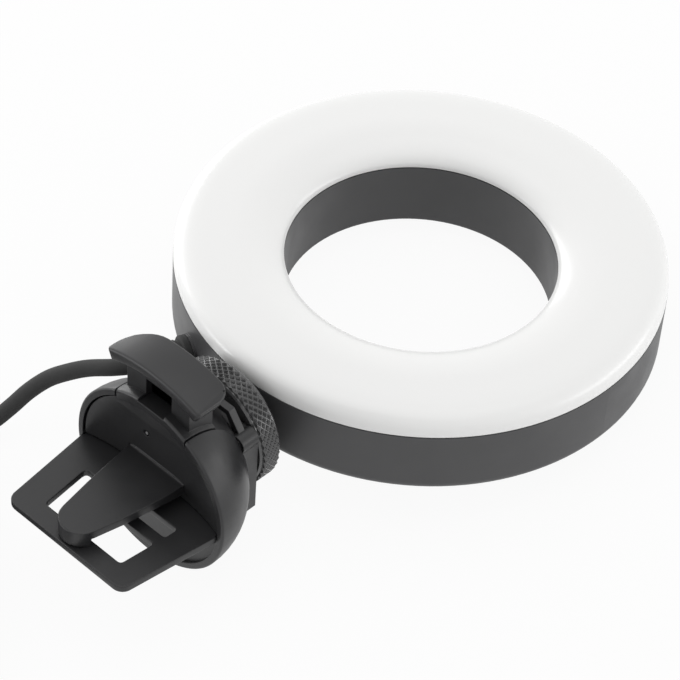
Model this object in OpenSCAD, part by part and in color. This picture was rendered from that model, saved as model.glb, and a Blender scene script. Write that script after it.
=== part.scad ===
// Round LED fill light: a ring-shaped lamp head on a ball joint with a sprung screen clip,
// and its lead with an inline controller and a USB plug.
// Ring frame: X across the clip, -Y out along the clip, Z out of the light's face, Z = 0 at the rim.
// The whole object is laid on its back, resting on the ring's far edge and the clip's round body.

/* [Ring head] */
// Outer diameter of the ring
ring_d = 120; // [110:1:130]
// Diameter of the centre hole
hole_d = 66.4; // [60:0.2:70]
// Thickness from the front rim to the back
ring_t = 17.5; // [17:0.1:20]
// Thickness of the outer and inner walls
wall = 2; // [1.8:0.1:2.2]
// Radius of the outer back edge
edge_r = 2.5; // [1.5:0.1:3]
// Radius of the hole's back edge
hole_edge_r = 0.8; // [0.4:0.1:1.2]
// Width of the bare rim beside the diffuser
rim_w = 0.9; // [0.7:0.1:1.1]
// Depth of the seat under the diffuser
seat_t = 1.6; // [1.2:0.1:2]

/* [Diffuser] */
// Height of the diffuser's crown over the rim
bulge = 5.5; // [4.5:0.1:6]
// Height of the diffuser's upright edge over the rim
edge_h = 0.8; // [0.5:0.1:1.2]
// Wall of the diffuser
diffuser_t = 1.7; // [1.2:0.1:2]

/* [Back cover] */
// Thickness of the back cover
cover_t = 1.6; // [1.2:0.1:2]
// Width of the flat back rim left and right of the cover
back_rim_w = 4; // [3.8:0.1:5]
// Number of cover screws
cover_screws = 4; // [4:1:6]
// Distance of the screws from the ring's outer face
screw_in = 7.5; // [7:0.1:8]
// Shank radius of the screws
screw_r = 1.1; // [0.9:0.05:1.3]
// Head radius of the screws
screw_head_r = 2.3; // [2:0.1:2.5]

/* [LED board] */
// Height of the board's front under the rim
board_z = 6; // [5.5:0.1:6.5]
// Thickness of the board
board_t = 1.6; // [1:0.1:1.8]
// LEDs of each colour
leds_each = 24; // [12:1:28]
// Distance of the warm LEDs from the hole's face
warm_in = 9.3; // [7.8:0.1:10.3]
// Distance of the cool LEDs from the ring's outer face
cool_in = 11.6; // [11:0.1:12.5]
// Size of an LED along the ring, across it and in height
led_size = [3.5, 2.8, 0.8];

/* [Ball joint] */
// Height of the ball joint's axis under the rim
joint_z = 9; // [8.5:0.1:9.5]
// Distance of the ball's centre from the ring's outer face
ball_out = 9.5; // [9.4:0.1:10]
// Radius of the ball
ball_r = 7.5; // [7.3:0.05:7.6]
// Radius of the stud's neck
neck_r = 3.2; // [3:0.1:3.3]
// Wall of the nylon liner round the ball
liner_t = 1.03; // [0.9:0.01:1.1]
// Outer radius of the split socket
socket_r = 10.3; // [10.2:0.05:10.4]
// Width of the slits in the socket
slit_w = 1; // [0.8:0.1:1.4]

/* [Lock nut] */
// Outer radius over the knurl
nut_r = 16; // [15:0.1:16.2]
// Gap between the ring's outer face and the nut
nut_gap = 3.1; // [3:0.1:3.3]
// Length of the nut
nut_l = 6.5; // [6.2:0.1:6.6]
// Depth of the knurl
knurl_h = 0.75; // [0.3:0.05:0.8]
// Diamonds round the nut
knurl_n = 48; // [36:2:64]
// Rows of diamonds
knurl_rows = 3; // [3:1:5]

/* [Clip body] */
// Height of the round body's axis under the rim
dome_z = 11.5; // [11.3:0.1:11.8]
// Radius of the round body at its open face
dome_r = 24; // [23.8:0.1:24.4]
// Depth of the domed back
dome_depth = 20.5; // [20.3:0.1:21]
// Distance of the open face from the ring's outer face
face_out = 30.6; // [30.5:0.1:31]
// Wall of the round body
dome_wall = 1; // [0.9:0.05:1.1]
// Half-width of the neck block behind the dome
block_hw = 14.5; // [14:0.1:15]
// Bottom of the neck block under the rim
block_bottom = 28; // [26:0.1:29]

/* [Fixed jaw] */
// Height of the jaw plate's top under the rim
plate_z = 12.9; // [12.8:0.05:13]
// Thickness of the jaw plate
plate_t = 1.9; // [1.6:0.1:2.2]
// Length of the plate in front of the open face
plate_l = 26.4; // [25.9:0.1:29.4]
// Corner radius of the plate
plate_corner_r = 3; // [2:0.1:4]

/* [Lever jaw] */
// Distance of the hinge pin behind the open face
pin_in = 4.4; // [4.3:0.05:4.5]
// Height of the hinge pin under the rim
pin_z = 10.6; // [10.55:0.05:10.7]
// Radius of the hinge pin
pin_r = 1; // [0.9:0.05:1.05]
// Radius of the hinge barrel
barrel_r = 2.1; // [2:0.05:2.15]
// Thickness of the tongue
tongue_t = 2.5; // [2.2:0.1:2.6]
// Height of the tongue's top under the rim
tongue_z = 8; // [7.9:0.1:8.1]
// Depth of the dished face
dish_depth = 2.2; // [1:0.1:2.4]
// Height of the thumb pad's top over the rim
pad_top = 24.4; // [23:0.1:26]
// Half-width of the thumb pad
pad_hw = 14.6; // [13:0.1:15.5]

/* [Lead] */
// Diameter of the lead
cord_d = 4.2; // [3.8:0.1:4.2]
// Angle between the lead's exit and the clip, round the ring
relief_a = 22; // [22:0.5:24]
// Height of the strain relief's axis under the rim
relief_z = 9.8; // [9:0.1:9.8]
// Length of the strain relief outside the ring
relief_l = 9; // [8:0.5:9]

/* [Controller] */
// Length, width and height of the controller
ctrl = [60, 19, 9.6];
// Button travel
button_travel = 0.6; // [0.4:0.05:0.7]
// Radius of the buttons
button_r = 3.6; // [3:0.1:3.8]

/* [Hidden] */
$fn = 48;
cut = 0.05;
run = 0.05;

charcoal = [0.2, 0.2, 0.21];
black = [0.1, 0.1, 0.105];

ring_r = ring_d / 2;
hole_r = hole_d / 2;
screw_ring_r = ring_r - screw_in;
warm_r = hole_r + warm_in;
cool_r = ring_r - cool_in;
ball_y = ring_r + ball_out;
nut_y = ring_r + nut_gap;
face_y = ring_r + face_out;
plate_y = face_y + plate_l;
pin_y = face_y - pin_in;
outer_in = ring_r - wall;
inner_in = hole_r + wall;
cover_out = ring_r - back_rim_w;
cover_in = hole_r + back_rim_w;
ledge = 2;
cover_gap = 0.1;
board_back = -board_z - board_t;
board_out = ring_r - 4.5;
board_in = hole_r + 3;
boss_r = 3.2;
boss_h = board_back + ring_t - cover_t - 0.4;
rib_w = 2;
dome_y = face_y - 1;

// Where the ring's back edge and the clip's round body touch the table
span_y = (ring_r - edge_r) + dome_y;
drop_z = (dome_z + dome_r) - (ring_t - edge_r);
lie_a = asin(edge_r / norm([span_y, drop_z])) - atan2(drop_z, span_y);
lift_z = (ring_t - edge_r) * cos(lie_a) - (ring_r - edge_r) * sin(lie_a) + edge_r;
back_edge_y = ring_r * cos(lie_a);
front_edge_y = -plate_y * cos(lie_a) + (plate_z + plate_t) * sin(lie_a);
shift_y = -(back_edge_y + front_edge_y) / 2;

// A point of the ring frame, as a point of the finished object
function laid(p) = [p[0], p[1] * cos(lie_a) - p[2] * sin(lie_a) + shift_y,
    p[1] * sin(lie_a) + p[2] * cos(lie_a) + lift_z];
module lying() translate([0, shift_y, lift_z]) rotate([lie_a, 0, 0]) children();

// Points of an arc round [cx, cy] from angle a0 to a1
function arc(cx, cy, r, a0, a1, n = 6) =
    [for (i = [0:n]) [cx + r * cos(a0 + (a1 - a0) * i / n), cy + r * sin(a0 + (a1 - a0) * i / n)]];

// The outline through pts with each corner rounded to radius r
function unit(v) = v / norm(v);
function corner(a, p, b, r, n) =
    let (u = unit(a - p), v = unit(b - p), half = acos(u * v) / 2, d = r / tan(half),
        c = p + unit(u + v) * r / sin(half), s = p + u * d - c, e = p + v * d - c,
        a0 = atan2(s[1], s[0]), turn = atan2(s[0] * e[1] - s[1] * e[0], s * e))
    arc(c[0], c[1], r, a0, a0 + turn, n);
function rounded(pts, r, n = 4) = [for (i = [0:len(pts) - 1])
    each corner(pts[(i + len(pts) - 1) % len(pts)], pts[i], pts[(i + 1) % len(pts)], r, n)];

// Local frame of the clip: X across, Y up out of the face, Z out along the clip, axis at height -z
module clip_axis(z = 0) translate([0, 0, -z]) rotate([90, 0, 0]) children();
// A side profile of [distance along the clip, height], made w wide and centred across the clip
module side_profile(w) rotate([90, 0, -90]) linear_extrude(w, center = true) children();
// A plan outline of [across, distance along the clip], from height z0 up by h
module plan(z0, h) translate([0, 0, z0]) mirror([0, 1, 0]) linear_extrude(h) children();
module on_pin() translate([0, -pin_y, -pin_z]) rotate([0, 90, 0]) children();
module round_z(n, r, a0 = 0) for (i = [0:n - 1]) rotate(a0 + 360 * i / n) translate([r, 0, 0]) children();

// Ring head
screw_a = 45;
pad_y = ring_r + 0.4;
stud_pad_r = 7;
inner_pad_y = ring_r - 2.8;

module ring_section() {
    polygon(concat(
        [[ring_r, 0]],
        arc(ring_r - edge_r, edge_r - ring_t, edge_r, 0, -90, 8),
        [[cover_out, -ring_t], [cover_out, cover_t - ring_t], [cover_out - ledge, cover_t - ring_t],
        [cover_out - ledge, cover_t - ring_t + wall], [outer_in, cover_t - ring_t + wall],
        [outer_in, -seat_t], [ring_r - rim_w, -seat_t], [ring_r - rim_w, 0]]));
    polygon(concat(
        [[hole_r + rim_w, 0], [hole_r + rim_w, -seat_t], [inner_in, -seat_t],
        [inner_in, cover_t - ring_t + wall], [cover_in + ledge, cover_t - ring_t + wall],
        [cover_in + ledge, cover_t - ring_t], [cover_in, cover_t - ring_t], [cover_in, -ring_t]],
        arc(hole_r + hole_edge_r, hole_edge_r - ring_t, hole_edge_r, 270, 180, 4),
        [[hole_r, 0]]));
}

module relief_axis() translate([0, 0, -relief_z]) rotate(-relief_a) rotate([90, 0, 0]) children();

module ring_housing() color(charcoal) lying() difference() {
    union() {
        rotate_extrude($fn = 180) ring_section();
        clip_axis(joint_z) {
            translate([0, 0, outer_in - 0.6]) cylinder(h = pad_y - outer_in + 0.6, r = stud_pad_r);
            translate([0, 0, inner_pad_y]) cylinder(h = 2, r = stud_pad_r - 1);
        }
        relief_axis() translate([0, 0, outer_in])
            cylinder(h = pad_y - outer_in + 0.2, r = relief_base_r + 0.1);
        round_z(cover_screws, screw_ring_r, screw_a) {
            translate([0, 0, board_back - boss_h]) cylinder(h = boss_h, r = boss_r);
            translate([inner_in - screw_ring_r - 0.5, -rib_w / 2, board_back - boss_h + 0.5])
                cube([outer_in - inner_in + 1, rib_w, boss_h - 1]);
        }
    }
    clip_axis(joint_z) translate([0, 0, inner_pad_y - 1])
        cylinder(h = pad_y - inner_pad_y + 2, r = stud_screw_r + run);
    relief_axis() translate([0, 0, outer_in - 2]) cylinder(h = pad_y - outer_in + 3, r = relief_stem_r + run);
    round_z(cover_screws, screw_ring_r, screw_a)
        translate([0, 0, -ring_t]) cylinder(h = ring_t, r = screw_r + run);
}

module rear_cover() color(charcoal) lying() difference() {
    translate([0, 0, -ring_t]) difference() {
        cylinder(h = cover_t - cut, r = cover_out - cover_gap, $fn = 180);
        translate([0, 0, -1]) cylinder(h = cover_t + 2, r = cover_in + cover_gap, $fn = 180);
    }
    round_z(cover_screws, screw_ring_r, screw_a) translate([0, 0, -ring_t]) {
        translate([0, 0, -1]) cylinder(h = cover_t + 2, r = screw_r + 0.2);
        translate([0, 0, -cut])
            cylinder(h = screw_head_r - screw_r + cut, r1 = screw_head_r + 0.15, r2 = screw_r + 0.15);
    }
}

module cover_screws() color("dimgray") lying() round_z(cover_screws, screw_ring_r, screw_a)
    translate([0, 0, -ring_t]) {
        cylinder(h = screw_head_r - screw_r, r1 = screw_head_r, r2 = screw_r);
        cylinder(h = 5.4, r = screw_r);
    }

crown_n = 18;
seam = 0.12;
// Height of the diffuser's face at share s of its width, from -1 at the hole to 1 at the outer edge:
// it rises steeply at the outer edge and softly at the hole
function face_z(s, top) = edge_h + (top - edge_h) * (s < 0 ? pow(1 - s * s, 0.55) : pow(1 - pow(s, 6), 0.4));
function face_points(r0, r1, top, drop) = [for (i = [0:crown_n]) let (s = -cos(180 * i / crown_n))
    [(r0 + r1) / 2 + s * (r1 - r0) / 2, face_z(s, top) - drop]];

module front_diffuser() color("white") lying() rotate_extrude($fn = 180) {
    r0 = hole_r + rim_w + cover_gap;
    r1 = ring_r - rim_w - cover_gap;
    difference() {
        polygon(concat([[r0, -seat_t], [r0, seam], [hole_r + cut, seam]],
            face_points(hole_r + cut, ring_r - cut, bulge, 0),
            [[ring_r - cut, seam], [r1, seam], [r1, -seat_t]]));
        polygon(concat([[r0 + diffuser_t, -seat_t - 1]],
            face_points(r0 + diffuser_t, r1 - diffuser_t, bulge, diffuser_t),
            [[r1 - diffuser_t, -seat_t - 1]]));
    }
}

module led_board() color("white") lying() difference() {
    translate([0, 0, board_back]) cylinder(h = board_t, r = board_out, $fn = 120);
    translate([0, 0, board_back - 1]) cylinder(h = board_t + 2, r = board_in, $fn = 120);
    round_z(cover_screws, screw_ring_r, screw_a)
        translate([0, 0, board_back - 1]) cylinder(h = board_t + 2, r = screw_r + 0.15);
    translate([-stud_head_r - 1, -ring_r, board_back - 1])
        cube([2 * stud_head_r + 2, ring_r - inner_pad_y + stud_head_t + 0.6, board_t + 2]);
}

module leds(r, a0) lying() round_z(leds_each, r, a0)
    translate([-led_size[1] / 2, -led_size[0] / 2, -board_z]) cube([led_size[1], led_size[0], led_size[2]]);
module leds_warm() color([1, 0.8, 0.35]) leds(warm_r, 180 / leds_each);
module leds_cool() color([1, 0.95, 0.6]) leds(cool_r, 0);

module board_screws() color("silver") lying() round_z(cover_screws, screw_ring_r, screw_a)
    translate([0, 0, -board_z]) {
        cylinder(h = 1.4, r = screw_head_r - 0.2);
        translate([0, 0, -4.6]) cylinder(h = 4.7, r = screw_r - run);
    }

// Ball joint, all on the joint's axis
stud_screw_r = 2;
stud_head_r = 3.6;
stud_head_t = 2.4;
stud_flange_r = 5.5;
stud_y = pad_y + 0.05;
bore_end = ball_y - 3;
liner_gap = 0.12;
liner_in = ball_r + liner_gap;
liner_out = liner_in + liner_t;
cup_in = liner_out + 0.15;
mouth_y = ball_y - 4.3;
socket_back = ball_y + 10.4;
lip_y = mouth_y + 0.55;

module stud_screw() color("silver") lying() clip_axis(joint_z) {
    translate([0, 0, inner_pad_y - stud_head_t]) cylinder(h = stud_head_t, r = stud_head_r);
    translate([0, 0, inner_pad_y - 0.1]) cylinder(h = bore_end - inner_pad_y - 0.4, r = stud_screw_r);
}

module ball_stud() color("gray") lying() clip_axis(joint_z) difference() {
    union() {
        translate([0, 0, stud_y]) cylinder(h = 0.9, r = stud_flange_r);
        translate([0, 0, stud_y]) cylinder(h = ball_y - stud_y, r = neck_r);
        translate([0, 0, ball_y]) sphere(r = ball_r, $fn = 64);
    }
    translate([0, 0, stud_y - 1]) cylinder(h = bore_end - stud_y + 1, r = stud_screw_r + run);
}

module ball_liner() color("whitesmoke") lying() clip_axis(joint_z) difference() {
    translate([0, 0, ball_y]) sphere(r = liner_out, $fn = 64);
    translate([0, 0, ball_y]) sphere(r = liner_in, $fn = 64);
    translate([0, 0, ball_y - 1.9 - liner_out]) cylinder(h = liner_out, r = liner_out + 1);
}

module socket_collet() color(black) lying() clip_axis(joint_z) difference() {
    translate([0, 0, mouth_y]) cylinder(h = socket_back - mouth_y, r = socket_r);
    translate([0, 0, ball_y]) sphere(r = liner_in + 0.03, $fn = 64);
    intersection() {
        translate([0, 0, ball_y]) sphere(r = cup_in, $fn = 64);
        translate([0, 0, lip_y]) cylinder(h = 2 * cup_in, r = cup_in + 1);
    }
    for (a = [45, 135]) rotate(a)
        translate([-socket_r - 1, -slit_w / 2, mouth_y - 1])
            cube([2 * socket_r + 2, slit_w, ball_y + 0.7 - mouth_y]);
}

// Lock nut: a plain core with a sleeve of raised diamonds
nut_bore = socket_r + 0.1;
nut_web = 1.65;
nut_hole = 6.6;
knurl_y0 = nut_y + 1.1;
knurl_y1 = nut_y + nut_l - 0.75;
knurl_core = nut_r - knurl_h;
knurl_in = nut_r - 2.4;

knurl_cols = 2 * knurl_n;
knurl_steps = 2 * knurl_rows;
// Half of the grid's points are raised, like the squares of one colour on a chess board
function knurl_point(i, j) =
    let (r = ((i + j) % 2 == 0) ? nut_r : knurl_core, a = 360 * i / knurl_cols)
    [r * cos(a), r * sin(a), knurl_y0 + (knurl_y1 - knurl_y0) * j / knurl_steps];
function knurl_in_point(i, y) =
    let (a = 360 * i / knurl_cols) [knurl_in * cos(a), knurl_in * sin(a), y];

module knurl_sleeve() {
    m = knurl_cols;
    n = knurl_steps;
    skin = [for (j = [0:n]) for (i = [0:m - 1]) knurl_point(i, j)];
    bore = [for (y = [knurl_y0, knurl_y1]) for (i = [0:m - 1]) knurl_in_point(i, y)];
    b0 = len(skin);
    // Each cell is split along the line that joins its two raised corners
    sides = [for (j = [0:n - 1]) for (i = [0:m - 1]) let (i1 = (i + 1) % m, p = j * m + i, q = j * m + i1)
        each (((i + j) % 2 == 0) ? [[p, q + m, q], [p, p + m, q + m]] : [[p, p + m, q], [q, p + m, q + m]])];
    ends = [for (i = [0:m - 1]) let (i1 = (i + 1) % m)
        each [[i, i1, b0 + i1], [i, b0 + i1, b0 + i],
            [n * m + i, b0 + m + i, b0 + m + i1], [n * m + i, b0 + m + i1, n * m + i1],
            [b0 + i, b0 + i1, b0 + m + i1], [b0 + i, b0 + m + i1, b0 + m + i]]];
    polyhedron(points = concat(skin, bore), faces = concat(sides, ends), convexity = 4);
}

module knurled_collar() color(black) lying() clip_axis(joint_z) difference() {
    union() {
        rotate_extrude($fn = 96) polygon([[0, nut_y], [knurl_core - 0.6, nut_y],
            [knurl_core + 0.1, nut_y + 0.7], [knurl_core + 0.1, knurl_y0 + 0.1],
            [knurl_in + 0.4, knurl_y0 + 0.3], [knurl_in + 0.4, knurl_y1 - 0.3],
            [knurl_core - 0.1, knurl_y1 - 0.1], [knurl_core - 0.1, nut_y + nut_l - 0.4],
            [knurl_core - 0.5, nut_y + nut_l], [0, nut_y + nut_l]]);
        knurl_sleeve();
    }
    translate([0, 0, nut_y + nut_web]) cylinder(h = nut_l, r = nut_bore);
    translate([0, 0, nut_y - 1]) cylinder(h = nut_l, r = nut_hole);
    translate([0, 0, nut_y - cut]) cylinder(h = 1, r1 = nut_hole + 1, r2 = nut_hole);
}

// Clip body
neck_y = ring_r + 10;
block_y1 = neck_y + 9;
cavity_y = face_y - 9.4;
slot_y = neck_y + 3.8;
slot_hw = 11.35;
slot_floor = 1.5;
lip_t = 0.9;
lip_in = dome_r - 1.8;
neck_wall = 1.3;
dome_n = 14;

// Outline of the round body, from the open face back to distance y_min, shrunk by the wall t
function dome_points(t, y_min) =
    let (r = dome_r - t, d = dome_depth - t * 0.7, a1 = asin((dome_y - y_min) / d))
    [for (i = [0:dome_n]) [r * cos(a1 * i / dome_n), dome_y - d * sin(a1 * i / dome_n)]];
module dome_solid(t, y_min, y_max) rotate_extrude($fn = 96)
    polygon(concat([[0, y_max], [dome_r - t, y_max]], dome_points(t, y_min), [[0, y_min]]));

module neck_block() {
    z0 = -block_bottom;
    w = block_hw;
    translate([0, 0, neck_y]) linear_extrude(block_y1 - neck_y)
        polygon([[-w, z0 + 4], [4 - w, z0], [w - 4, z0], [w, z0 + 4],
            [w, -3], [w - 1.6, 0], [1.6 - w, 0], [-w, -3]]);
    for (s = [-1, 1]) translate([s * (w - 2.2), -1.7, neck_y]) cylinder(h = 5, r = 2.4);
    translate([0, -joint_z, neck_y]) cylinder(h = block_y1 - neck_y, r = socket_r + neck_wall);
}

// The bridge over the socket, behind the lever's slot
module neck_bridge() {
    outer = [[-12.6, -0.5], [-8.2, 5.4], [8.2, 5.4], [12.6, -0.5]];
    inner = [[-10.5, -1], [-7.4, 3.8], [7.4, 3.8], [10.5, -1]];
    translate([0, 0, neck_y + 1.8]) linear_extrude(2) difference() {
        polygon(outer);
        polygon(inner);
    }
}

module clip_housing() color(black) lying() difference() {
    union() {
        clip_axis(dome_z) rotate_extrude($fn = 96) polygon(concat(
            [[0, face_y], [dome_r - 0.4, face_y], [dome_r, face_y - 0.4]],
            dome_points(0, neck_y), [[0, neck_y]]));
        clip_axis() neck_block();
        clip_axis() neck_bridge();
    }
    clip_axis(dome_z) intersection() {
        dome_solid(dome_wall, neck_y + 1, face_y - lip_t);
        translate([0, 0, cavity_y]) cylinder(h = dome_depth, r = dome_r);
    }
    clip_axis(dome_z) translate([0, 0, face_y - lip_t - 1]) cylinder(h = 3, r = lip_in);
    clip_axis() translate([-slot_hw, slot_floor, slot_y]) cube([2 * slot_hw, dome_r, face_y - slot_y + 1]);
    // The way under the bridge
    clip_axis() translate([0, 0, neck_y - 1]) linear_extrude(slot_y - neck_y + 1.1)
        polygon([[-8.9, slot_floor], [-7.4, 3.8], [7.4, 3.8], [8.9, slot_floor]]);
    clip_axis(joint_z) translate([0, 0, neck_y - 1])
        cylinder(h = socket_back + 0.1 - neck_y + 1, r = socket_r + run);
}

// Fixed jaw: the plate with its window, the lower face of the clip and the two pin ears
ear_y = 16.2;
ear_t = 2;
plate_hw = 22.1;
plate_end_hw = 19.3;
plate_in_hw = sqrt(lip_in * lip_in - pow(plate_z + plate_t - dome_z, 2)) - 0.2;

// Plan of the plate in front of the round body; its root is narrower, to pass inside the lip
module plate_outline() {
    r = plate_corner_r;
    polygon(concat([[-plate_in_hw, face_y - 1.2], [-plate_in_hw, face_y + 0.1], [-plate_hw, face_y + 0.1],
        [-plate_hw, face_y + 0.9]],
        arc(r - plate_end_hw, plate_y - r, r, 180, 90), arc(plate_end_hw - r, plate_y - r, r, 90, 0),
        [[plate_hw, face_y + 0.9], [plate_hw, face_y + 0.1],
        [plate_in_hw, face_y + 0.1], [plate_in_hw, face_y - 1.2]]));
}
// The window and the slot, measured back from the plate's front edge in shares of its length
function from_front(pts) = [for (p = pts) [p[0], plate_y - p[1] * plate_l]];
window_pts = from_front([[-11.7, 0.204], [13, 0.204], [13.9, 0.557], [-9.3, 0.557], [-9.3, 0.727],
    [-13.2, 0.727]]);
slot_pts = from_front([[4.8, 0.817], [14.4, 0.817], [14.3, 0.674], [4.8, 0.674]]);

module fixed_jaw() color(black) lying() difference() {
    union() {
        difference() {
            plan(-plate_z - plate_t, plate_t) plate_outline();
            plan(-plate_z - plate_t - 1, plate_t + 2) polygon(rounded(window_pts, 0.9));
            plan(-plate_z - plate_t - 1, plate_t + 2) polygon(rounded(slot_pts, 0.9));
        }
        // The plate's tail inside the round body, and the wall that closes the body below it
        intersection() {
            clip_axis(dome_z) dome_solid(dome_wall + 0.15, neck_y + 1, face_y - lip_t - 0.1);
            union() {
                plan(-plate_z - plate_t, plate_t)
                    translate([-dome_r, cavity_y + 0.8]) square([2 * dome_r, 9]);
                plan(-plate_z - plate_t - dome_r, dome_r + 0.5)
                    translate([-dome_r, face_y - lip_t - 2]) square([2 * dome_r, 1.9]);
            }
        }
        for (s = [-1, 1]) translate([s * ear_y, 0, 0]) side_profile(ear_t) {
            translate([pin_y, -pin_z]) circle(r = barrel_r);
            polygon([[pin_y - barrel_r, -plate_z - 0.5], [pin_y + barrel_r, -plate_z - 0.5],
                [pin_y + barrel_r, -pin_z], [pin_y - barrel_r, -pin_z]]);
        }
    }
    on_pin() cylinder(h = 3 * dome_r, r = pin_r, center = true);
}

// Lever: thumb pad, stem, dished face and tongue in one moulding
dish_r = dome_r - 2.15;
dish_back = face_y - 3.4;
dish_front = face_y - 0.4;
lever_hw = 11;
stem_hw = 10;
stem_y0 = face_y - 9.9;
stem_y1 = face_y - 2.6;
pad_y0 = face_y - 10.6;
pad_y1 = face_y - 0.3;
jaw_gap = 0.4;
coil_gap_hw = 4.4;
coil_gap_r = 2.9;
hook = [-3.3, -0.2];
ear_pocket_r = barrel_r + 0.3;

// How far out the dished face lies at distance r from its middle
function dish_y(r) = dish_front - dish_depth * (1 - pow(r / dish_r, 3));
module dished_face() intersection() {
    clip_axis(dome_z) rotate_extrude($fn = 96) polygon(concat(
        [for (i = [0:10]) let (q = i / 10) [dish_r * q, dish_y(dish_r * q)]],
        [[dish_r, dish_front - 0.9], [dish_r - 1.3, dish_back + 0.2], [dish_r - 1.5, dish_back],
            [0, dish_back]]));
    translate([-dome_r, -face_y - 9.4, -plate_z + jaw_gap]) cube([2 * dome_r, dome_depth, 2 * dome_r]);
}

module lever_crown() intersection() {
    union() {
        clip_axis(dome_z) rotate_extrude($fn = 96) polygon([[dish_r - 0.5, dish_back + 1],
            [dome_r, dish_back + 1], [dome_r, face_y - 0.4], [dome_r - 0.4, face_y],
            [dome_r - 1, face_y], [dish_r - 0.5, dish_front]]);
        clip_axis(dome_z) intersection() {
            dome_solid(0, neck_y, dish_front - 0.6);
            translate([-dome_r, dome_r - 7.5, stem_y0]) cube([2 * dome_r, dome_r, dome_depth]);
        }
    }
    translate([-lever_hw, -face_y - 9.4, 0]) cube([2 * lever_hw, dome_depth, 2 * dome_r]);
}

module stem() clip_axis() translate([-stem_hw, 8, stem_y0]) cube([2 * stem_hw, 13, stem_y1 - stem_y0]);
// Window in the stem's front wall, and the hollow behind it, which is open below
module stem_hollow() clip_axis() {
    translate([-3.9, 11.4, stem_y0 + 3]) cube([8.2, 5.4, stem_y1 - stem_y0]);
    translate([1.6 - stem_hw, 4, stem_y0 + 1.2]) cube([2 * stem_hw - 3.2, 15, stem_y1 - stem_y0 - 3.1]);
}

module thumb_pad() intersection() {
    top_r = (pad_hw * pad_hw + 16) / 8;
    low_r = 72;
    translate([0, -pad_y0, pad_top]) clip_axis() linear_extrude(pad_y1 - pad_y0) difference() {
        intersection() {
            translate([0, -top_r]) circle(r = top_r, $fn = 120);
            translate([-pad_hw, -5.4]) square([2 * pad_hw, 6]);
        }
        translate([0, -3.5 - low_r]) circle(r = low_r, $fn = 180);
    }
    plan(10, 20) polygon(concat([[-pad_hw, pad_y1]], arc(6 - pad_hw, pad_y0 + 6, 6, 180, 270),
        arc(pad_hw - 6, pad_y0 + 6, 6, 270, 360), [[pad_hw, pad_y1]]));
}

tongue_root = face_y - 3.3;
tongue_tip = plate_y - 0.3;
tongue_fillet = 3.5;
module tongue() {
    z1 = -tongue_z;
    z0 = z1 - tongue_t;
    f = tongue_fillet;
    f_y = tongue_root + 0.3 + f;
    intersection() {
        plan(-plate_z + jaw_gap, 15) polygon(concat([[-8.8, tongue_root], [-8.8, face_y + 0.4],
            [-8.2, face_y + 4.4], [-6.6, tongue_tip - 11.7]],
            arc(0, tongue_tip - 5.4, 5.4, 170, 10, 10),
            [[6.9, tongue_tip - 11.7], [8.5, face_y + 4.4], [9, face_y + 0.4], [9, tongue_root]]));
        side_profile(20) difference() {
            polygon([[tongue_root, z0], [tongue_tip - 3.9, z0], [tongue_tip - 3.5, -plate_z],
                [tongue_tip + 1, -plate_z], [tongue_tip + 1, z1 - 0.6], [tongue_tip - 0.6, z1],
                [f_y, z1], [f_y - f, z1 + f], [tongue_root, z1 + f]]);
            translate([f_y, z1 + f]) circle(r = f);
        }
    }
}

module jaw_lever() color(black) lying() difference() {
    union() {
        dished_face();
        lever_crown();
        stem();
        thumb_pad();
        tongue();
        on_pin() cylinder(h = 2 * (ear_y - ear_t / 2) - 0.4, r = barrel_r, center = true);
    }
    on_pin() {
        cylinder(h = 3 * dome_r, r = pin_r + run, center = true);
        cylinder(h = 2 * coil_gap_hw, r = coil_gap_r, center = true);
    }
    stem_hollow();
    // Pockets round the plate's ears
    for (s = [-1, 1]) translate([s * ear_y, 0, 0]) {
        on_pin() cylinder(h = ear_t + 0.5, r = ear_pocket_r, center = true);
        side_profile(ear_t + 0.5) translate([pin_y - ear_pocket_r, -plate_z - 1])
            square([2 * ear_pocket_r, plate_z + 1 - pin_z]);
    }
    clip_axis() translate([hook[0], hook[1], dish_back - 3]) cylinder(h = dome_depth, r = 0.9);
}

module hinge_pin() color("silver") lying() on_pin()
    cylinder(h = 2 * ear_y + ear_t + 0.6, r = pin_r, center = true);

// A tube swept along path p: each ring is square to the path, its first side turned from straight up
function tangent(p, i) = unit(p[min(i + 1, len(p) - 1)] - p[max(i - 1, 0)]);
function tube_ring(p, i, r, sides, up) =
    let (t = tangent(p, i), s = unit(cross(t, up)), n = cross(s, t))
    [for (k = [0:sides - 1]) let (a = 360 * (k + 0.5) / sides) p[i] + r * cos(a) * s + r * sin(a) * n];
module tube(p, r, sides, up = [0, 0, 1]) {
    n = len(p);
    pts = [for (i = [0:n - 1]) each tube_ring(p, i, r, sides, up)];
    skin = [for (i = [0:n - 2]) for (k = [0:sides - 1])
        let (k1 = (k + 1) % sides, a = i * sides, b = a + sides)
        each [[a + k, a + k1, b + k1], [a + k, b + k1, b + k]]];
    polyhedron(points = pts, faces = concat([[for (k = [sides - 1:-1:0]) k]], skin,
        [[for (k = [0:sides - 1]) (n - 1) * sides + k]]), convexity = 10);
}

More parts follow.
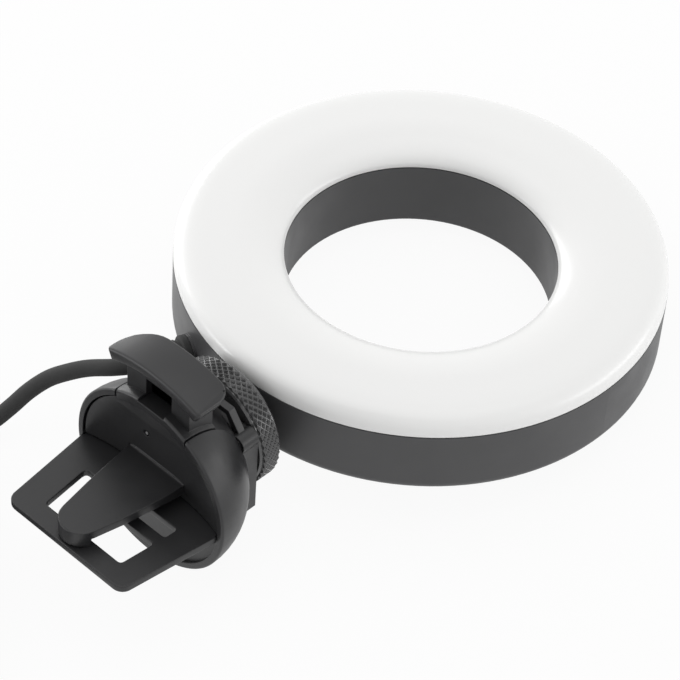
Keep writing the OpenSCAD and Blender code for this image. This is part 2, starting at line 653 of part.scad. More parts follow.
// Torsion spring round the hinge pin: its coil, the leg behind the dished face and the leg on the plate
wire_r = 0.4;
spring_r = 1.75;
spring_turns = 5.25;
spring_hw = 3.3;
spring_steps = 12;
spring_n = spring_turns * spring_steps;
hook_end = dish_y(norm([hook[0], hook[1] + dome_z])) - 0.1;
spring_path = concat(
    [[hook[0], hook[1], hook_end], [hook[0], hook[1], dish_back - 0.3],
        [hook[0], hook[1] - 0.25, dish_back - 0.7], [hook[0], hook[1] - 0.8, dish_back - 0.9],
        [-spring_hw, -pin_z + 3, pin_y + 0.35], [-spring_hw, -pin_z + 2.2, pin_y + 0.3]],
    [for (i = [0:spring_n]) let (a = 75 + 375 * i / spring_n + 360 * (spring_turns - 1) * i / spring_n)
        [spring_hw * (2 * i / spring_n - 1), -pin_z + spring_r * sin(a), pin_y + spring_r * cos(a)]],
    [[spring_hw, -plate_z + 1.1, pin_y - 2], [spring_hw, -plate_z + 0.6, pin_y - 2.5],
        [spring_hw, -plate_z + 0.55, pin_y - 3.8]]);
module torsion_spring() color("silver") lying() clip_axis() tube(spring_path, wire_r, 6, [1, 0, 0]);

// Strain relief on the ring's wall
relief_base_r = 4.2;
relief_stem_r = 3.2;
relief_y0 = pad_y + 0.2;
relief_end = relief_y0 + relief_l;
module strain_relief() color(black) lying() relief_axis() {
    rotate_extrude() polygon([[0, outer_in - 1.6], [relief_stem_r + 0.7, outer_in - 1.6],
        [relief_stem_r + 0.7, outer_in - 0.4], [relief_stem_r, outer_in - 0.4],
        [relief_stem_r, relief_y0 + cut], [relief_base_r, relief_y0 + cut],
        [relief_base_r, relief_y0 + 1.6], [3.7, relief_y0 + 2], [3.3, relief_y0 + 2.1],
        [3.3, relief_y0 + 2.9], [3.6, relief_y0 + 3], [3.5, relief_y0 + 4.2],
        [3.1, relief_y0 + 4.3], [3.1, relief_y0 + 5.1], [3.4, relief_y0 + 5.2],
        [3.2, relief_y0 + 6.4], [2.9, relief_y0 + 6.5], [2.9, relief_y0 + 7.2],
        [3.1, relief_y0 + 7.3], [2.7, relief_end], [0, relief_end]]);
}

cord_r = cord_d / 2;
// A smooth line through the points, with k steps between neighbours
function blend(a, b, c, d, t) = ((2 * b) + (c - a) * t + (2 * a - 5 * b + 4 * c - d) * t * t
    + (3 * b - a - 3 * c + d) * t * t * t) / 2;
function smooth(p, k) = concat([for (i = [0:len(p) - 2]) for (j = [0:k - 1])
    blend(p[max(i - 1, 0)], p[i], p[i + 1], p[min(i + 2, len(p) - 1)], j / k)], [p[len(p) - 1]]);
function length_of(p, i = 0) = i >= len(p) - 1 ? 0 : norm(p[i + 1] - p[i]) + length_of(p, i + 1);

// Inline controller, flat on the table beside the coil
ctrl_mid = [-24, -108, 0];
ctrl_turn = -42;
ctrl_z = ctrl[2] / 2;
ctrl_wall = 1.3;
ctrl_split = 4.8;
button_x = [-18, -6, 6, 18];
button_gap = 0.25;
ctrl_stub = 2.5;
ctrl_stub_r = 3.1;
// A point off one end of the controller, on its axis
function ctrl_end(side, off) = ctrl_mid + [0, 0, ctrl_z]
    + (ctrl[0] / 2 + ctrl_stub + off) * side * [cos(ctrl_turn), sin(ctrl_turn), 0];
module at_controller() translate(ctrl_mid) rotate(ctrl_turn) children();

// The lead's route over the table, chosen by hand, in the finished object's frame
function relief_point(y) = laid([-y * sin(relief_a), -y * cos(relief_a), -relief_z]);
lead_start = relief_point(relief_end + cord_d);
lead_route = [[-31, -44, 23], [-37, -47, 20.5], [-41.5, -50, 18], [-45.5, -53, 15],
    [-48.5, -57, 11.5], [-50.5, -61.5, 8], [-52, -66.5, 5.7], [-54, -72, 4], [-55, -77.5, 3.8]];
// The route was drawn for a lead that starts here; it is shifted at its start to where the lead starts
route_from = [-27.65, -39.92, 22.94];
lead_n = len(lead_route);
lead_pts = concat([relief_point(relief_end), lead_start],
    [for (i = [0:lead_n - 1]) lead_route[i] + (lead_start - route_from) * (1 - (i + 1) / lead_n)],
    [ctrl_end(-1, cord_d), ctrl_end(-1, 0)]);
module cord_lead() color(black) tube(smooth(lead_pts, 3), cord_r, 8);

module ctrl_outline(t) polygon(rounded([[-1, -1], [1, -1], [1, 1], [-1, 1]]
    * [[ctrl[0] / 2 - t, 0], [0, ctrl[1] / 2 - t]], 5 - t, 6));
module ctrl_half(z0, z1, top) difference() {
    union() {
        translate([0, 0, z0]) linear_extrude(z1 - z0) ctrl_outline(0);
        if (!top) for (s = [-1, 1]) translate([s * (ctrl[0] / 2 - 1), 0, ctrl_z]) rotate([0, s * 90, 0])
            cylinder(h = ctrl_stub + 1, r = ctrl_stub_r);
    }
    translate([0, 0, top ? z0 - 1 : z0 + ctrl_wall])
        linear_extrude(z1 - z0 - (top ? ctrl_wall - 1 : 0)) ctrl_outline(ctrl_wall);
}

module controller_bottom() color(black) at_controller() difference() {
    ctrl_half(0, ctrl_split, false);
    translate([-ctrl[0] / 2 - 0.1, -5, ctrl_split]) cube([ctrl[0] + 0.2, 10, 5]);
}

module controller_top() color(black) at_controller() difference() {
    ctrl_half(ctrl_split + cut, ctrl[2], true);
    for (x = button_x) translate([x, 0, ctrl_split]) cylinder(h = 10, r = button_r + button_gap);
    for (s = [-1, 1]) translate([s * ctrl[0] / 2, 0, ctrl_z]) rotate([0, 90, 0])
        cylinder(h = 8, r = ctrl_stub_r + 0.1, center = true);
}

ctrl_board_z = 2.6;
switch_h = 2;
module controller_board() color("darkgreen") at_controller() translate([0, 0, ctrl_board_z - 1.2])
    linear_extrude(1.2) ctrl_outline(ctrl_wall + 0.2);
module tact_switches() color("silver") at_controller() for (x = button_x)
    translate([x - 2.6, -2.6, ctrl_board_z]) cube([5.2, 5.2, switch_h]);

button_top = ctrl[2] + 1.1;
flange_z = ctrl[2] - ctrl_wall - 1;
module button(x) color([0.16, 0.16, 0.17]) at_controller() translate([x, 0, 0]) difference() {
    union() {
        translate([0, 0, flange_z]) cylinder(h = button_top - flange_z, r = button_r);
        translate([0, 0, flange_z]) cylinder(h = 0.8, r = button_r + 1);
        translate([0, 0, ctrl_board_z + switch_h + button_travel + 0.1])
            cylinder(h = flange_z + 0.4 - ctrl_board_z - switch_h - button_travel, r = 1.5);
    }
    // Finger dish in the top
    translate([0, 0, button_top + 11.6]) sphere(r = 12, $fn = 96);
}
module power_button() button(button_x[0]);
module mode_button() button(button_x[1]);
module plus_button() button(button_x[2]);
module minus_button() button(button_x[3]);

// The coil: a spiral in on the table, a climb in the half turn where it reverses, and out again on top
coil_mid = [-79, -121];
tie_t = 0.5;
tie_a = 100;
coil_out = 32;
coil_step = cord_d + 0.45;
coil_a0 = -70;
coil_a1 = -180;
coil_loops = 8;
coil_angle = 360 * coil_loops + (coil_a0 - coil_a1);
coil_ring = 24;
coil_rings = round(coil_angle / 360 * coil_ring);
coil_z0 = cord_r + tie_t + 0.05;
coil_z1 = coil_z0 + coil_step;
function coil_r(a) = coil_out - coil_step * (coil_angle / 2 - abs(a - coil_angle / 2)) / 360;
function climb(a) = let (s = min(1, max(0, (a - coil_angle / 2) / 180 + 0.5))) s * s * (3 - 2 * s);
function coil_point(a) = [coil_mid[0] + coil_r(a) * cos(coil_a0 - a),
    coil_mid[1] + coil_r(a) * sin(coil_a0 - a), coil_z0 + (coil_z1 - coil_z0) * climb(a)];
coil_turns = [for (i = [0:coil_rings]) coil_point(coil_angle * i / coil_rings)];
coil_first = coil_turns[0] - cord_d * [sin(coil_a0), -cos(coil_a0), 0];
coil_last = coil_turns[coil_rings] + cord_d * [sin(coil_a1), -cos(coil_a1), 0];
coil_path = concat([coil_first], coil_turns, [coil_last]);
// Least distance between the skins of two stretches of the coil more than half a turn apart
coil_gap = min([for (i = [0:3:len(coil_path) - 1]) for (j = [i + 13:len(coil_path) - 1])
    norm(coil_path[i] - coil_path[j])]) - cord_d;
echo(least_gap_in_the_coil = coil_gap, length_of_the_coil = length_of(coil_path));
module cord_coil() color(black) tube(coil_path, cord_r, 6);

mid_pts = [ctrl_end(1, 0), ctrl_end(1, cord_d), [8, -135, 3.5], [13, -141, 2.5], [14, -148, 2.1],
    [9, -154, 2.1], [1, -157, 2.1], [-10, -157.5, 2.1], [-22, -156, 2.1], [-35, -153, 2.1], [-48, -150, 2.1],
    coil_first - cord_d * [sin(coil_a0), -cos(coil_a0), 0], coil_first];
module cord_mid() color(black) tube(smooth(mid_pts, 3), cord_r, 8);

tail_pts = [coil_last, coil_last + [0, cord_d, 0], [-111, -106, 6.4], [-111, -99.5, 4.9],
    [-111, -93, 4], [-111, -88, 4]];
module cord_tail() color(black) tube(smooth(tail_pts, 3), cord_r, 8);
echo(length_of_the_lead = length_of(smooth(lead_pts, 3)),
    length_of_the_rest = length_of(smooth(mid_pts, 3)) + length_of(smooth(tail_pts, 3)));

// A strap wound once round all the turns on one side of the coil
tie_w = 10;
tie_in = coil_out - coil_angle / 720 * coil_step - cord_r - 0.3;
tie_out = coil_out + cord_r + 0.3;
tie_h = coil_z1 + cord_r + 0.3;
module tie_outline(t) polygon(rounded([[tie_in - t, tie_t - t], [tie_out + t, tie_t - t],
    [tie_out + t, tie_h + t], [tie_in - t, tie_h + t]], 1 + t, 4));
module cord_tie() color([0.14, 0.14, 0.15]) translate([coil_mid[0], coil_mid[1], 0]) rotate(tie_a)
    rotate([90, 0, 0]) linear_extrude(tie_w, center = true) difference() {
        tie_outline(tie_t);
        tie_outline(0);
    }

// USB plug, lying beside the coil and pointing along Y
plug_start = tail_pts[len(tail_pts) - 1];
plug_z = plug_start[2];
module at_plug() translate([plug_start[0], plug_start[1], plug_z]) rotate([-90, 0, 0]) children();
shell = [12, 4.5, 12];
module plug_overmould() color(black) at_plug() difference() {
    union() {
        translate([0, 0, 0]) cylinder(h = 3.4, r = 2.9);
        translate([0, 0, 4.2]) cylinder(h = 2, r = 3.1);
        cylinder(h = 8, r = 2.4);
        translate([0, 0, 7]) linear_extrude(19)
            polygon(rounded([[-7.5, -4], [7.5, -4], [7.5, 4], [-7.5, 4]], 1.8));
    }
    translate([-shell[0] / 2, -shell[1] / 2, 18]) cube([shell[0], shell[1], 10]);
}
module plug_shell() color("silver") at_plug() translate([0, 0, 18 + cut]) difference() {
    linear_extrude(8 + shell[2]) square([shell[0] - 2 * cut, shell[1] - 2 * cut], center = true);
    translate([0, 0, 1]) linear_extrude(8 + shell[2]) square([shell[0] - 0.7, shell[1] - 0.7], center = true);
    for (s = [-1, 1]) translate([s * 2.6 - 1.1, -5, 15]) cube([2.2, 10, 2.2]);
}
insulator = [shell[0] - 0.8, 1.9, 18.4];
module plug_insulator() color("white") at_plug()
    translate([-insulator[0] / 2, 0.35 - insulator[1], 19 + 2 * cut]) cube(insulator);
module plug_contacts() color("gold") at_plug() for (x = [-3.5, -1, 1, 3.5]) translate([x - 0.5, 0.35, 26])
    cube([1, 0.25, abs(x) > 2 ? 10 : 9]);

ring_housing();
rear_cover();
cover_screws();
front_diffuser();
led_board();
leds_warm();
leds_cool();
board_screws();
stud_screw();
ball_stud();
ball_liner();
socket_collet();
knurled_collar();
clip_housing();
fixed_jaw();
jaw_lever();
hinge_pin();
torsion_spring();
strain_relief();
cord_lead();
controller_bottom();
controller_top();
controller_board();
tact_switches();
power_button();
mode_button();
plus_button();
minus_button();
cord_mid();
cord_coil();
cord_tie();
cord_tail();
plug_overmould();
plug_shell();
plug_insulator();
plug_contacts();
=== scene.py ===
"""Looks of the round LED fill light: its finishes, its rounded shells, its lead and the studio it lies in."""

import logging
import math
from collections.abc import Callable, Sequence
from dataclasses import dataclass
from enum import Enum

import bmesh
import bpy
from mathutils import Matrix, Vector


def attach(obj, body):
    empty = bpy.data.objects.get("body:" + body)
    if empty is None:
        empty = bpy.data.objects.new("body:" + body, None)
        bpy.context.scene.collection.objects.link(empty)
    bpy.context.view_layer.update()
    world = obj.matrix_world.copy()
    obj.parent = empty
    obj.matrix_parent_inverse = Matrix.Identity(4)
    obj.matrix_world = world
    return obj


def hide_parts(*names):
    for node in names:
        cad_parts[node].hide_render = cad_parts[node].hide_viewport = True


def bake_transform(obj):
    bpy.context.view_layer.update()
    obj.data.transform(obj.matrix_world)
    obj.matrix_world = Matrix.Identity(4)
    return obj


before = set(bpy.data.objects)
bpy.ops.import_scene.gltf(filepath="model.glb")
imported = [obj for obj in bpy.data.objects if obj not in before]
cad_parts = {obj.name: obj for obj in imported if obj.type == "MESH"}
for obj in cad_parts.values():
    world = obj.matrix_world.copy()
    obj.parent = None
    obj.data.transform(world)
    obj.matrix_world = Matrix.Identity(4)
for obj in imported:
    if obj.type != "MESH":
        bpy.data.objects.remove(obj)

LOG = logging.getLogger("fill_light")
MM = 0.001
Point = tuple[float, float, float]
Spot = tuple[float, float]

# Where the controller and the plug lie on the table, in mm and degrees
CONTROLLER_SPOT: Spot = (-24.0, -108.0)
CONTROLLER_TURN = -42.0
PLUG_START: Point = (-111.0, -88.0, 4.0)

# How a rounded copy may differ from its node: least and most share of the volume, and growth in mm
VOLUME_KEPT: Spot = (0.94, 1.02)
GROWTH_ALLOWED = 0.08


class Side(Enum):
    """The two ends of the controller."""

    RING = -1
    PLUG = 1


class Sign(Enum):
    """The raised marks on the controller's buttons."""

    POWER = "power"
    COLOUR = "colour"
    PLUS = "plus"
    MINUS = "minus"


# Node groups that several finishes share


@dataclass(frozen=True)
class Group:
    """A shader node group with named inputs and outputs, built once.

    Args:
        name: The group's name.
        inputs: Names and default values of its inputs.
        outputs: Names and socket types of its outputs.
    """

    name: str
    inputs: tuple[tuple[str, float], ...]
    outputs: tuple[tuple[str, str], ...]

    def tree(self) -> bpy.types.NodeTree:
        """Makes the group, or gives the one that was made before.

        Returns:
            The node tree.
        """
        made = bpy.data.node_groups.get(self.name)
        if made is not None:
            return made
        made = bpy.data.node_groups.new(self.name, "ShaderNodeTree")
        for name, value in self.inputs:
            socket = made.interface.new_socket(name, in_out="INPUT", socket_type="NodeSocketFloat")
            socket.default_value = value
        for name, kind in self.outputs:
            made.interface.new_socket(name, in_out="OUTPUT", socket_type=kind)
        self.wire(made)
        return made

    def wire(self, tree: bpy.types.NodeTree) -> None:
        """Adds the group's nodes.

        Args:
            tree: The new, empty tree.
        """
        raise NotImplementedError

    def placed(self, tree: bpy.types.NodeTree, at: Spot, **values: float) -> bpy.types.Node:
        """Places the group in a material with its own values.

        Args:
            tree: The material's tree.
            at: The node's place in the editor.
            values: Input values by name, with _ for a space.

        Returns:
            The group's node.
        """
        node = tree.nodes.new("ShaderNodeGroup")
        node.location = at
        node.node_tree = self.tree()
        for name, value in values.items():
            node.inputs[name.replace("_", " ")].default_value = value
        return node


def link(tree: bpy.types.NodeTree, source: bpy.types.NodeSocket, target: bpy.types.NodeSocket) -> None:
    """Joins two sockets.

    Args:
        tree: The tree that holds them.
        source: The output.
        target: The input.
    """
    tree.links.new(source, target)


def new_node(tree: bpy.types.NodeTree, kind: str, at: Spot, **values: object) -> bpy.types.Node:
    """Adds a node and sets its properties or its inputs' plain values.

    Args:
        tree: The tree that gets it.
        kind: The node's type.
        at: Its place in the editor.
        values: Properties by name; those that are no property are inputs.

    Returns:
        The node.
    """
    node = tree.nodes.new(kind)
    node.location = at
    for name, value in values.items():
        if hasattr(node, name):
            setattr(node, name, value)
        else:
            node.inputs[name.replace("_", " ")].default_value = value
    return node


def sized_noise(
    tree: bpy.types.NodeTree, size: bpy.types.NodeSocket, place: bpy.types.NodeSocket, at: Spot, detail: float
) -> bpy.types.Node:
    """Adds a noise whose patches have a size in millimetres.

    Args:
        tree: The tree that gets it.
        size: The socket that gives the size.
        place: The socket that gives the place on the piece.
        at: Its place in the editor.
        detail: Its detail.

    Returns:
        The noise node.
    """
    pitch = new_node(tree, "ShaderNodeMath", (at[0] - 200, at[1] - 120), operation="DIVIDE")
    pitch.inputs[0].default_value = 1000
    link(tree, size, pitch.inputs[1])
    noise = new_node(tree, "ShaderNodeTexNoise", at, Detail=detail, Roughness=0.6)
    link(tree, place, noise.inputs["Vector"])
    link(tree, pitch.outputs[0], noise.inputs["Scale"])
    return noise


@dataclass(frozen=True)
class MouldedGrain(Group):
    """The fine spark-eroded grain of a moulded surface, and its uneven gloss."""

    name: str = "moulded_grain"
    inputs: tuple[tuple[str, float], ...] = (
        ("Grain Size", 0.25),
        ("Grain Height", 0.02),
        ("Edge Radius", 0.15),
        ("Roughness Low", 0.4),
        ("Roughness High", 0.5),
    )
    outputs: tuple[tuple[str, str], ...] = (
        ("Roughness", "NodeSocketFloat"),
        ("Normal", "NodeSocketVector"),
    )

    def wire(self, tree: bpy.types.NodeTree) -> None:
        """Grain from a noise in real size over the normal of a rounded edge, and gloss from a broad one.

        Args:
            tree: The new, empty tree.
        """
        inside = new_node(tree, "NodeGroupInput", (-900, 0))
        out = new_node(tree, "NodeGroupOutput", (700, 0))
        place = new_node(tree, "ShaderNodeTexCoord", (-900, 300)).outputs["Object"]
        fine = sized_noise(tree, inside.outputs["Grain Size"], place, (-480, 260), 2.0)
        broad = new_node(tree, "ShaderNodeTexNoise", (-480, 0), Scale=90.0, Detail=3.0, Roughness=0.55)
        link(tree, place, broad.inputs["Vector"])
        rough = new_node(tree, "ShaderNodeMapRange", (120, 120), From_Min=0.35, From_Max=0.65)
        link(tree, broad.outputs["Fac"], rough.inputs["Value"])
        link(tree, inside.outputs["Roughness Low"], rough.inputs["To Min"])
        link(tree, inside.outputs["Roughness High"], rough.inputs["To Max"])
        link(tree, rough.outputs["Result"], out.inputs["Roughness"])
        radius = new_node(tree, "ShaderNodeMath", (-480, -300), operation="MULTIPLY")
        radius.inputs[1].default_value = MM
        link(tree, inside.outputs["Edge Radius"], radius.inputs[0])
        edge = new_node(tree, "ShaderNodeBevel", (-280, -300), samples=6)
        link(tree, radius.outputs[0], edge.inputs["Radius"])
        height = new_node(tree, "ShaderNodeMath", (-280, -120), operation="MULTIPLY")
        height.inputs[1].default_value = MM
        link(tree, inside.outputs["Grain Height"], height.inputs[0])
        bump = new_node(tree, "ShaderNodeBump", (120, -140), Strength=1.0)
        link(tree, height.outputs[0], bump.inputs["Distance"])
        link(tree, fine.outputs["Fac"], bump.inputs["Height"])
        link(tree, edge.outputs["Normal"], bump.inputs["Normal"])
        link(tree, bump.outputs["Normal"], out.inputs["Normal"])


@dataclass(frozen=True)
class ColourDrift(Group):
    """A slow, slight change of tone over a surface."""

    name: str = "colour_drift"
    inputs: tuple[tuple[str, float], ...] = (("Patch Size", 12.0), ("Amount", 0.06))
    outputs: tuple[tuple[str, str], ...] = (("Shade", "NodeSocketFloat"),)

    def wire(self, tree: bpy.types.NodeTree) -> None:
        """A noise of the patch size, mapped to values round one.

        Args:
            tree: The new, empty tree.
        """
        inside = new_node(tree, "NodeGroupInput", (-700, 0))
        out = new_node(tree, "NodeGroupOutput", (400, 0))
        place = new_node(tree, "ShaderNodeTexCoord", (-700, 220)).outputs["Object"]
        patch = sized_noise(tree, inside.outputs["Patch Size"], place, (-320, 140), 4.0)
        centred = new_node(tree, "ShaderNodeMath", (-120, 140), operation="SUBTRACT")
        centred.inputs[1].default_value = 0.5
        link(tree, patch.outputs["Fac"], centred.inputs[0])
        spread = new_node(tree, "ShaderNodeMath", (60, 80), operation="MULTIPLY_ADD")
        spread.inputs[2].default_value = 1.0
        link(tree, centred.outputs[0], spread.inputs[0])
        link(tree, inside.outputs["Amount"], spread.inputs[1])
        link(tree, spread.outputs[0], out.inputs["Shade"])


GRAIN = MouldedGrain()
DRIFT = ColourDrift()


# Finishes


@dataclass(frozen=True)
class Finish:
    """A finish: one Principled surface fed by the shared groups.

    Args:
        name: The material's name.
        slot: The record's material slot that it belongs to.
        colour: Linear base colour.
        rough: Lowest and highest roughness.
        grain: Size and height of the grain, in mm.
        edge: Radius of the softened edges, in mm.
        drift: Patch size in mm and amount of the shade's drift.
        metallic: 1 for bare metal.
        coat: Weight and roughness of a clear gloss.
        specular: Specular level.
        glow: Share of light that scatters under the surface.
        sheen: Weight of a cloth's sheen.
    """

    name: str
    slot: str
    colour: Point
    rough: Spot = (0.4, 0.5)
    grain: Spot = (0.25, 0.01)
    edge: float = 0.12
    drift: Spot = (14.0, 0.08)
    metallic: float = 0.0
    coat: Spot = (0.0, 0.1)
    specular: float = 0.5
    glow: float = 0.0
    sheen: float = 0.0

    def material(self) -> bpy.types.Material:
        """Builds the material, or gives the one that was built before.

        Returns:
            The material.
        """
        made = bpy.data.materials.get(self.name)
        if made is not None:
            return made
        made = bpy.data.materials.new(self.name)
        made.use_nodes = True
        tree = made.node_tree
        tree.nodes.clear()
        out = new_node(tree, "ShaderNodeOutputMaterial", (700, 0))
        surface = new_node(tree, "ShaderNodeBsdfPrincipled", (380, 0))
        surface.inputs["Metallic"].default_value = self.metallic
        surface.inputs["Coat Weight"].default_value = self.coat[0]
        surface.inputs["Coat Roughness"].default_value = self.coat[1]
        surface.inputs["Specular IOR Level"].default_value = self.specular
        surface.inputs["Sheen Weight"].default_value = self.sheen
        if self.glow:
            surface.inputs["Subsurface Weight"].default_value = self.glow
            surface.inputs["Subsurface Radius"].default_value = (1.0, 1.0, 1.0)
            surface.inputs["Subsurface Scale"].default_value = 1.2 * MM
        link(tree, surface.outputs["BSDF"], out.inputs["Surface"])
        self.paint(tree, surface)
        return made

    def paint(self, tree: bpy.types.NodeTree, surface: bpy.types.Node) -> None:
        """Feeds colour, roughness and normal.

        Args:
            tree: The material's tree.
            surface: Its Principled node.
        """
        drift = DRIFT.placed(tree, (-200, 240), Patch_Size=self.drift[0], Amount=self.drift[1])
        tint = new_node(tree, "ShaderNodeMix", (60, 200), data_type="RGBA", blend_type="MULTIPLY")
        tint.inputs["Factor"].default_value = 1.0
        tint.inputs[6].default_value = (*self.colour, 1.0)
        link(tree, drift.outputs["Shade"], tint.inputs[7])
        link(tree, tint.outputs[2], surface.inputs["Base Color"])
        grain = GRAIN.placed(
            tree, (-200, -120), Grain_Size=self.grain[0], Grain_Height=self.grain[1], Edge_Radius=self.edge,
            Roughness_Low=self.rough[0], Roughness_High=self.rough[1],
        )
        link(tree, grain.outputs["Roughness"], surface.inputs["Roughness"])
        link(tree, grain.outputs["Normal"], surface.inputs["Normal"])


@dataclass(frozen=True)
class WovenFinish(Finish):
    """A woven tape: crossing threads as bump.

    Args:
        thread: Width of a thread, in mm.
    """

    thread: float = 0.35

    def paint(self, tree: bpy.types.NodeTree, surface: bpy.types.Node) -> None:
        """Feeds colour, roughness and a normal from two crossed waves.

        Args:
            tree: The material's tree.
            surface: Its Principled node.
        """
        super().paint(tree, surface)
        place = new_node(tree, "ShaderNodeTexCoord", (-900, -500))
        waves = []
        for i, axis in enumerate(("X", "Y")):
            wave = new_node(tree, "ShaderNodeTexWave", (-650, -450 - 200 * i), bands_direction=axis)
            wave.inputs["Scale"].default_value = 1000 / (self.thread * 2 * math.pi) * 0.32
            link(tree, place.outputs["Object"], wave.inputs["Vector"])
            waves.append(wave)
        both = new_node(tree, "ShaderNodeMath", (-420, -500), operation="MAXIMUM")
        link(tree, waves[0].outputs["Fac"], both.inputs[0])
        link(tree, waves[1].outputs["Fac"], both.inputs[1])
        bump = new_node(tree, "ShaderNodeBump", (120, -400), Strength=0.6, Distance=0.08 * MM)
        link(tree, both.outputs[0], bump.inputs["Height"])
        link(tree, bump.outputs["Normal"], surface.inputs["Normal"])


CHARCOAL_SHELL = Finish(
    "charcoal_shell", "charcoal_plastic", (0.056, 0.056, 0.058),
    rough=(0.4, 0.48), grain=(0.16, 0.004), edge=0.25, drift=(20.0, 0.06),
)
CLIP_BLACK = Finish(
    "clip_black", "black_plastic", (0.013, 0.013, 0.014),
    rough=(0.36, 0.46), grain=(0.2, 0.006), edge=0.2, drift=(10.0, 0.1),
)
# The lock nut is the same black plastic as the clip. Its base colour is set about four times lighter as
# painted highlight, standing in for the light that its knurl's ridges catch.
NUT_BLACK_PAINTED_LIGHT = Finish(
    "nut_black_painted_light", "black_plastic", (0.05, 0.05, 0.051),
    rough=(0.2, 0.28), grain=(0.2, 0.003), edge=0.04, drift=(8.0, 0.1), specular=0.9,
)
SOCKET_BLACK = Finish(
    "socket_black", "black_plastic", (0.02, 0.02, 0.021),
    rough=(0.38, 0.48), grain=(0.22, 0.01), edge=0.15, drift=(8.0, 0.1),
)
CONTROLLER_BLACK = Finish(
    "controller_black", "black_plastic", (0.02, 0.02, 0.021),
    rough=(0.42, 0.52), grain=(0.28, 0.016), edge=0.2, drift=(12.0, 0.1),
)
MILKY_DIFFUSER = Finish(
    "milky_diffuser", "milky_diffuser", (0.955, 0.955, 0.952),
    rough=(0.2, 0.26), grain=(1.5, 0.0), edge=0.1, drift=(40.0, 0.01), coat=(0.35, 0.05), glow=0.18,
)
BLACK_PVC = Finish(
    "black_pvc", "black_pvc", (0.017, 0.017, 0.018),
    rough=(0.3, 0.38), grain=(0.5, 0.004), edge=0.15, drift=(16.0, 0.1),
)
BUTTON_PLASTIC = Finish(
    "button_plastic", "button_plastic", (0.045, 0.045, 0.047),
    rough=(0.35, 0.42), grain=(0.2, 0.006), edge=0.15, drift=(5.0, 0.08),
)
SIGN_PAINT = Finish(
    "sign_paint", "button_plastic", (0.55, 0.55, 0.55),
    rough=(0.4, 0.5), grain=(0.15, 0.004), edge=0.03, drift=(2.0, 0.06),
)
WHITE_BOARD = Finish(
    "white_board", "white_board", (0.8, 0.8, 0.77),
    rough=(0.35, 0.45), grain=(0.4, 0.002), edge=0.1, drift=(9.0, 0.03),
)
GREEN_BOARD = Finish(
    "green_board", "green_board", (0.02, 0.16, 0.06),
    rough=(0.3, 0.4), grain=(0.4, 0.002), edge=0.1, drift=(6.0, 0.15),
)
WARM_PHOSPHOR = Finish(
    "warm_phosphor", "warm_led", (0.85, 0.5, 0.1),
    rough=(0.2, 0.28), grain=(0.3, 0.002), edge=0.1, drift=(3.0, 0.05),
)
COOL_PHOSPHOR = Finish(
    "cool_phosphor", "cool_led", (0.86, 0.78, 0.25),
    rough=(0.2, 0.28), grain=(0.3, 0.002), edge=0.1, drift=(3.0, 0.05),
)
WARM_CASE = Finish(
    "warm_case", "warm_led", (0.84, 0.83, 0.8),
    rough=(0.35, 0.42), grain=(0.2, 0.002), edge=0.05, drift=(3.0, 0.03),
)
COOL_CASE = Finish(
    "cool_case", "cool_led", (0.86, 0.86, 0.85),
    rough=(0.35, 0.42), grain=(0.2, 0.002), edge=0.05, drift=(3.0, 0.03),
)
NYLON = Finish(
    "nylon", "nylon", (0.78, 0.77, 0.72),
    rough=(0.4, 0.5), grain=(0.3, 0.003), edge=0.15, drift=(8.0, 0.04), glow=0.1,
)
ZINC_STEEL = Finish(
    "zinc_steel", "zinc_steel", (0.62, 0.62, 0.64),
    rough=(0.22, 0.32), grain=(0.3, 0.002), edge=0.08, drift=(4.0, 0.12), metallic=1.0,
)
SPRING_STEEL = Finish(
    "spring_steel", "spring_steel", (0.6, 0.6, 0.61),
    rough=(0.2, 0.28), grain=(0.2, 0.002), edge=0.05, drift=(3.0, 0.12), metallic=1.0,
)
DARK_STEEL = Finish(
    "dark_steel", "dark_screw", (0.09, 0.09, 0.09),
    rough=(0.32, 0.42), grain=(0.2, 0.003), edge=0.04, drift=(3.0, 0.12), metallic=1.0,
)
COATED_ALLOY = Finish(
    "coated_alloy", "zinc_alloy", (0.05, 0.05, 0.052),
    rough=(0.35, 0.45), grain=(0.2, 0.004), edge=0.15, drift=(6.0, 0.1),
)
NICKEL_SHEET = Finish(
    "nickel_sheet", "nickel_shell", (0.7, 0.69, 0.66),
    rough=(0.16, 0.26), grain=(0.6, 0.002), edge=0.1, drift=(6.0, 0.08), metallic=1.0,
)
GOLD_FLASH = Finish(
    "gold_flash", "gold_contact", (0.83, 0.6, 0.22),
    rough=(0.2, 0.28), grain=(0.3, 0.001), edge=0.04, drift=(3.0, 0.06), metallic=1.0,
)
TIE_TAPE = WovenFinish(
    "tie_tape", "tie_fabric", (0.02, 0.02, 0.02),
    rough=(0.75, 0.85), grain=(0.2, 0.01), edge=0.1, drift=(4.0, 0.2), sheen=0.3,
)


# Making and finishing pieces


def deselect_all() -> None:
    """Leaves edit mode and deselects every object."""
    if bpy.context.object is not None and bpy.context.object.mode != "OBJECT":
        bpy.ops.object.mode_set(mode="OBJECT")
    bpy.ops.object.select_all(action="DESELECT")


def take_up(piece: bpy.types.Object) -> None:
    """Selects one piece alone and makes it the active one."""
    deselect_all()
    piece.select_set(True)
    bpy.context.view_layer.objects.active = piece


def dress(piece: bpy.types.Object, *finishes: Finish) -> None:
    """Gives a piece its finishes, the first one on every face that names no other.

    Args:
        piece: The piece.
        finishes: Its finishes, in the order of its material slots.
    """
    piece.data.materials.clear()
    for finish in finishes:
        piece.data.materials.append(finish.material())


def dress_node(name: str, finish: Finish) -> bpy.types.Object:
    """Gives a carried-over CAD node its finish.

    Args:
        name: The node.
        finish: Its finish.

    Returns:
        The node's object.
    """
    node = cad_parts[name]
    dress(node, finish)
    LOG.info("node %s: %s", name, finish.name)
    return node


